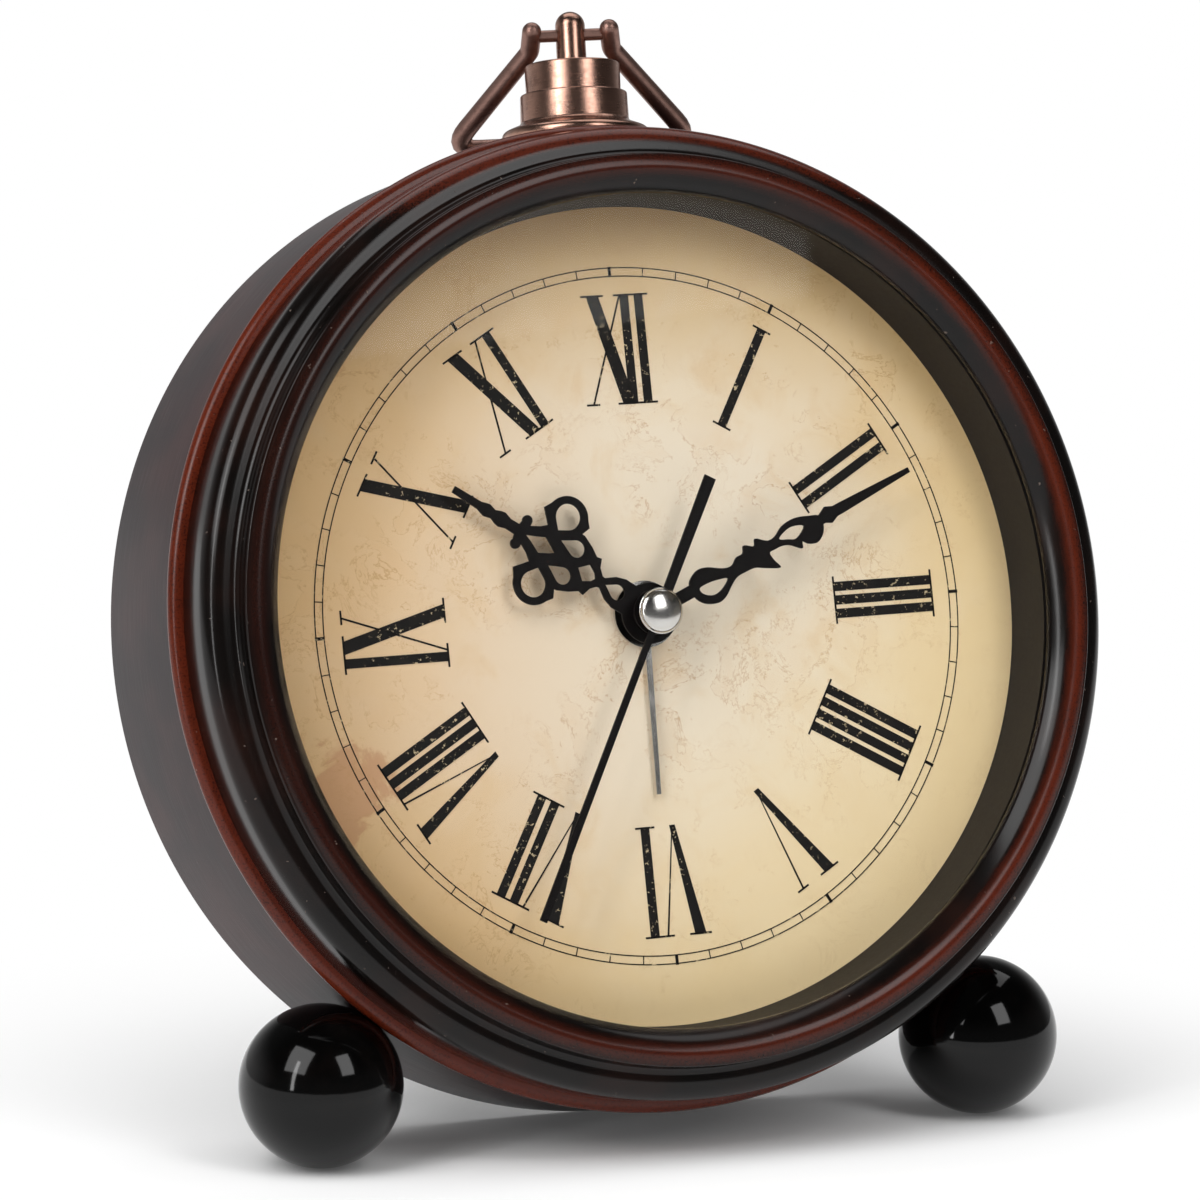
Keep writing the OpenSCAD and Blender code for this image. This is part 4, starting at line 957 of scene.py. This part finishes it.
class CLOCK_OT_feet(ClockOperator):
    """Build the two ball feet"""

    bl_idname = "clock.feet"
    bl_label = "Feet"

    def execute(self, context):
        size, finish = self.values(context)
        paint = ball_paint(finish)
        for side, name in ((-1, "left"), (1, "right")):
            mesh, node = ball_mesh(size, side), "ball_foot_" + name
            piece("ball_" + name, mesh, paint, "case", [node])
        return {"FINISHED"}


class CLOCK_OT_handle(ClockOperator):
    """Build the turned handle and its bail"""

    bl_idname = "clock.handle"
    bl_label = "Handle"

    def execute(self, context):
        size, finish = self.values(context)
        depth = size.handle_depth / MM
        paint = copper_paint("antique_copper", finish.copper, finish, depth, dull=0.16)
        piece("handle_base", flange_mesh(size), paint, "case", ["handle_flange"])
        piece("handle_steps", post_mesh(size), paint, "case", ["handle_post"])
        paint = copper_paint("bail_copper", finish.bail, finish, depth, dull=0.34)
        piece("bail_wire", bail_mesh(size), paint, "bail", ["bail"], 50)
        return {"FINISHED"}


class CLOCK_OT_back(ClockOperator):
    """Finish the rear cover, the knobs, the switch and the battery door"""

    bl_idname = "clock.back"
    bl_label = "Back"

    def execute(self, context):
        size = self.values(context)[0]
        dress(moulded_paint("cover_black", "1b1a1a", 0.42, 2.4), "rear_cover", "battery_door")
        dress(moulded_paint("switch_grey", "bdbbb4", 0.4), "alarm_switch")
        dress(metal_paint("screw_steel", "b4b4b4", 0.25),
              "rear_cover_screws", "foot_screws", "handle_screw", "dial_clamp_screws",
              "movement_screws", "movement_fixing_screws")
        paint = moulded_paint("knob_black", "141313", 0.3)
        for body, node in (("time_set", "time_set_knob"), ("alarm_set", "alarm_set_knob")):
            low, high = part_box(node)
            middle = BENCH.inverted() @ ((low + high) / 2)
            mesh = knob_mesh(size, body, middle, paint)
            piece(body + "_grip", mesh, paint, body, [node])
        return {"FINISHED"}


class CLOCK_OT_movement(ClockOperator):
    """Finish the pieces inside the case"""

    bl_idname = "clock.movement"
    bl_label = "Movement"

    def execute(self, context):
        dress(moulded_paint("movement_white", "d9d7cf", 0.45),
              "movement_front_plate", "movement_middle_plate", "movement_back_plate")
        dress(moulded_paint("inner_ring", "262626", 0.5), "dial_clamp_ring")
        dress(metal_paint("pillar_brass", "b59a55"), "dial_pillars")
        dress(metal_paint("wheel_brass", "c9a75a"),
              "alarm_wheel", "hour_wheel", "centre_wheel", "third_wheel", "second_wheel", "buzzer")
        dress(metal_paint("pinion_brass", "b8974b", 0.3),
              "cannon_pinion", "minute_wheel", "fifth_wheel", "time_set_shaft", "alarm_set_shaft")
        dress(metal_paint("magnet_grey", "4a4a4c", 0.4), "rotor")
        dress(metal_paint("stator_steel", "a3a5a6"), "stator")
        dress(metal_paint("coil_copper", "b5532c", 0.3, 9.0), "coil")
        dress(moulded_paint("board_green", "1c5a34", 0.35), "circuit_board")
        dress(moulded_paint("chip_black", "0c0c0c", 0.3), "chip_cover")
        dress(moulded_paint("cell_jacket", "54555c", 0.3), "battery")
        dress(metal_paint("contact_steel", "c6c6c2"),
              "battery_contact_plus", "battery_contact_minus", "quartz_crystal")
        dress(moulded_paint("lead_red", "8d2a22", 0.4), "battery_leads")
        return {"FINISHED"}


# The camera in the bench frame, fitted to the clock's proportions.
CAMERA_AT = (-327.6, -51.3, 753.3)
CAMERA_RIGHT = (0.919, -0.0745, 0.3871)
CAMERA_DOWN = (-0.0432, -0.9951, -0.0891)
FOCAL_PIXELS, PICTURE_PIXELS, SENSOR = 6269, 1200, 36.0

# Lamps: name, direction from the clock in the camera's frame, distance, width, height, radiance.
LAMPS = (
    ("key_box", (-0.5, 0.55, 0.67), 0.9, 0.5, 0.56, 4.1),
    ("strip_box", (-0.6, 0.22, 0.77), 0.9, 0.075, 0.62, 9.5),
    ("fill_box", (0.55, 0.47, 0.69), 0.9, 0.3, 0.46, 4.4),
    ("front_box", (0.0, 0.88, 0.47), 0.85, 1.2, 0.6, 2.1),
    ("top_box", (0.05, 0.97, -0.25), 0.8, 0.9, 0.5, 1.6),
)
MATT_LAMPS = ("front_box",)


def add_camera():
    """The camera of the main view."""
    camera = bpy.data.cameras.new("camera")
    camera.sensor_width = SENSOR
    camera.lens = FOCAL_PIXELS / PICTURE_PIXELS * SENSOR
    camera.clip_start = 0.01
    thing = bpy.data.objects.new("camera", camera)
    bpy.context.scene.collection.objects.link(thing)
    right, up = BENCH_TURN @ Vector(CAMERA_RIGHT), BENCH_TURN @ -Vector(CAMERA_DOWN)
    back = right.cross(up).normalized()
    up = back.cross(right).normalized()
    turn = Matrix((right.normalized(), up, back)).transposed()
    thing.matrix_world = Matrix.Translation(BENCH @ Vector(CAMERA_AT)) @ turn.to_4x4()
    bpy.context.scene.camera = thing
    return thing


def add_softbox(camera, name, direction, distance, wide, high, radiance):
    """A rectangular lamp in a direction given in the camera's frame."""
    light = bpy.data.lights.new(name, "AREA")
    light.shape = "RECTANGLE"
    light.size, light.size_y = wide, high
    light.energy = radiance * wide * high * math.pi
    thing = bpy.data.objects.new(name, light)
    bpy.context.scene.collection.objects.link(thing)
    way = (camera.matrix_world.to_3x3() @ Vector(direction)).normalized()
    facing = way.to_track_quat("Z", "Y").to_matrix().to_4x4()
    thing.matrix_world = Matrix.Translation(BENCH_AT + way * distance) @ facing
    thing.visible_glossy = name not in MATT_LAMPS


def floor_paint(finish):
    """White floor: lit near the clock so that it takes the shadow, plain white further off."""
    paint = Paint("floor")
    spot = paint.add("ShaderNodeTexCoord", out="Object")
    x, y = (paint.add("ShaderNodeSeparateXYZ", None, {0: spot}, out=axis) for axis in "XY")
    reach = (x * x + y * y) ** 0.5
    seen = paint.add("ShaderNodeLightPath", out="Is Camera Ray")
    seen = seen.math("MAXIMUM", paint.add("ShaderNodeLightPath", out="Is Glossy Ray"))
    share = seen * (0.05 + reach.smooth(0.045, 0.13) * 0.95)
    lit = paint.add("ShaderNodeBsdfDiffuse", None, {"Color": finish.backdrop})
    plain = paint.add("ShaderNodeEmission", None, {"Color": finish.backdrop, "Strength": 1.0})
    return paint.blend(share, lit, plain)


def add_floor(finish):
    """A wide flat floor under the clock."""
    half = 6.0
    data = bpy.data.meshes.new("floor")
    corners = [(x, y, 0) for x, y in rectangle(-half, half, -half, half)]
    data.from_pydata(corners, [], [(0, 1, 2, 3)])
    data.materials.append(floor_paint(finish))
    floor = bpy.data.objects.new("floor", data)
    bpy.context.scene.collection.objects.link(floor)


def add_surroundings(scene):
    """Plain white to the camera; to the clock dim, and brightest low down behind it."""
    world = bpy.data.worlds.new("surroundings")
    scene.world = world
    world.use_nodes = True
    nodes = Nodes(world.node_tree)
    way = nodes.add("ShaderNodeTexCoord", out="Generated")
    y, z = (nodes.add("ShaderNodeSeparateXYZ", None, {0: way}, out=axis) for axis in "YZ")
    glow = (1 - z.smooth(0.1, 0.6) * 0.85) * (0.1 + y.smooth(0.0, 0.7) * 0.4)
    seen = nodes.add("ShaderNodeLightPath", out="Is Camera Ray").math("MAXIMUM", glow)
    sky = nodes.tree.nodes["Background"].inputs
    nodes.feed(sky["Color"], (1, 1, 1))
    nodes.feed(sky["Strength"], seen)


class CLOCK_OT_stage(ClockOperator):
    """Set the floor, the soft lamps, the surroundings and the camera"""

    bl_idname = "clock.stage"
    bl_label = "Stage"

    def execute(self, context):
        finish = self.values(context)[1]
        camera = add_camera()
        for lamp in LAMPS:
            add_softbox(camera, *lamp)
        add_floor(finish)
        add_surroundings(context.scene)
        context.scene.view_settings.view_transform = "Standard"
        return {"FINISHED"}


class CLOCK_PT_panel(bpy.types.Panel):
    """Lists the clock's operators"""

    bl_label = "Table alarm clock"
    bl_idname = "CLOCK_PT_panel"
    bl_space_type = "VIEW_3D"
    bl_region_type = "UI"
    bl_category = "Clock"

    def draw(self, context):
        for operator in OPERATORS:
            self.layout.operator(operator.bl_idname)


OPERATORS = (CLOCK_OT_stage, CLOCK_OT_case, CLOCK_OT_dial, CLOCK_OT_hands, CLOCK_OT_feet,
             CLOCK_OT_handle, CLOCK_OT_back, CLOCK_OT_movement)
CLASSES = (ClockSizes, ClockFinishes) + OPERATORS + (CLOCK_PT_panel,)


def register():
    """Registers the classes and gives the scene its sizes and finishes."""
    for kind in CLASSES:
        bpy.utils.register_class(kind)
    bpy.types.Scene.clock_sizes = bpy.props.PointerProperty(type=ClockSizes)
    bpy.types.Scene.clock_finishes = bpy.props.PointerProperty(type=ClockFinishes)


def unregister():
    """Takes back what register() did."""
    del bpy.types.Scene.clock_finishes
    del bpy.types.Scene.clock_sizes
    for kind in reversed(CLASSES):
        bpy.utils.unregister_class(kind)


def main():
    """Builds the clock and its stage."""
    register()
    for operator in OPERATORS:
        group, name = operator.bl_idname.split(".")
        getattr(getattr(bpy.ops, group), name)()


if __name__ == "__main__":
    main()
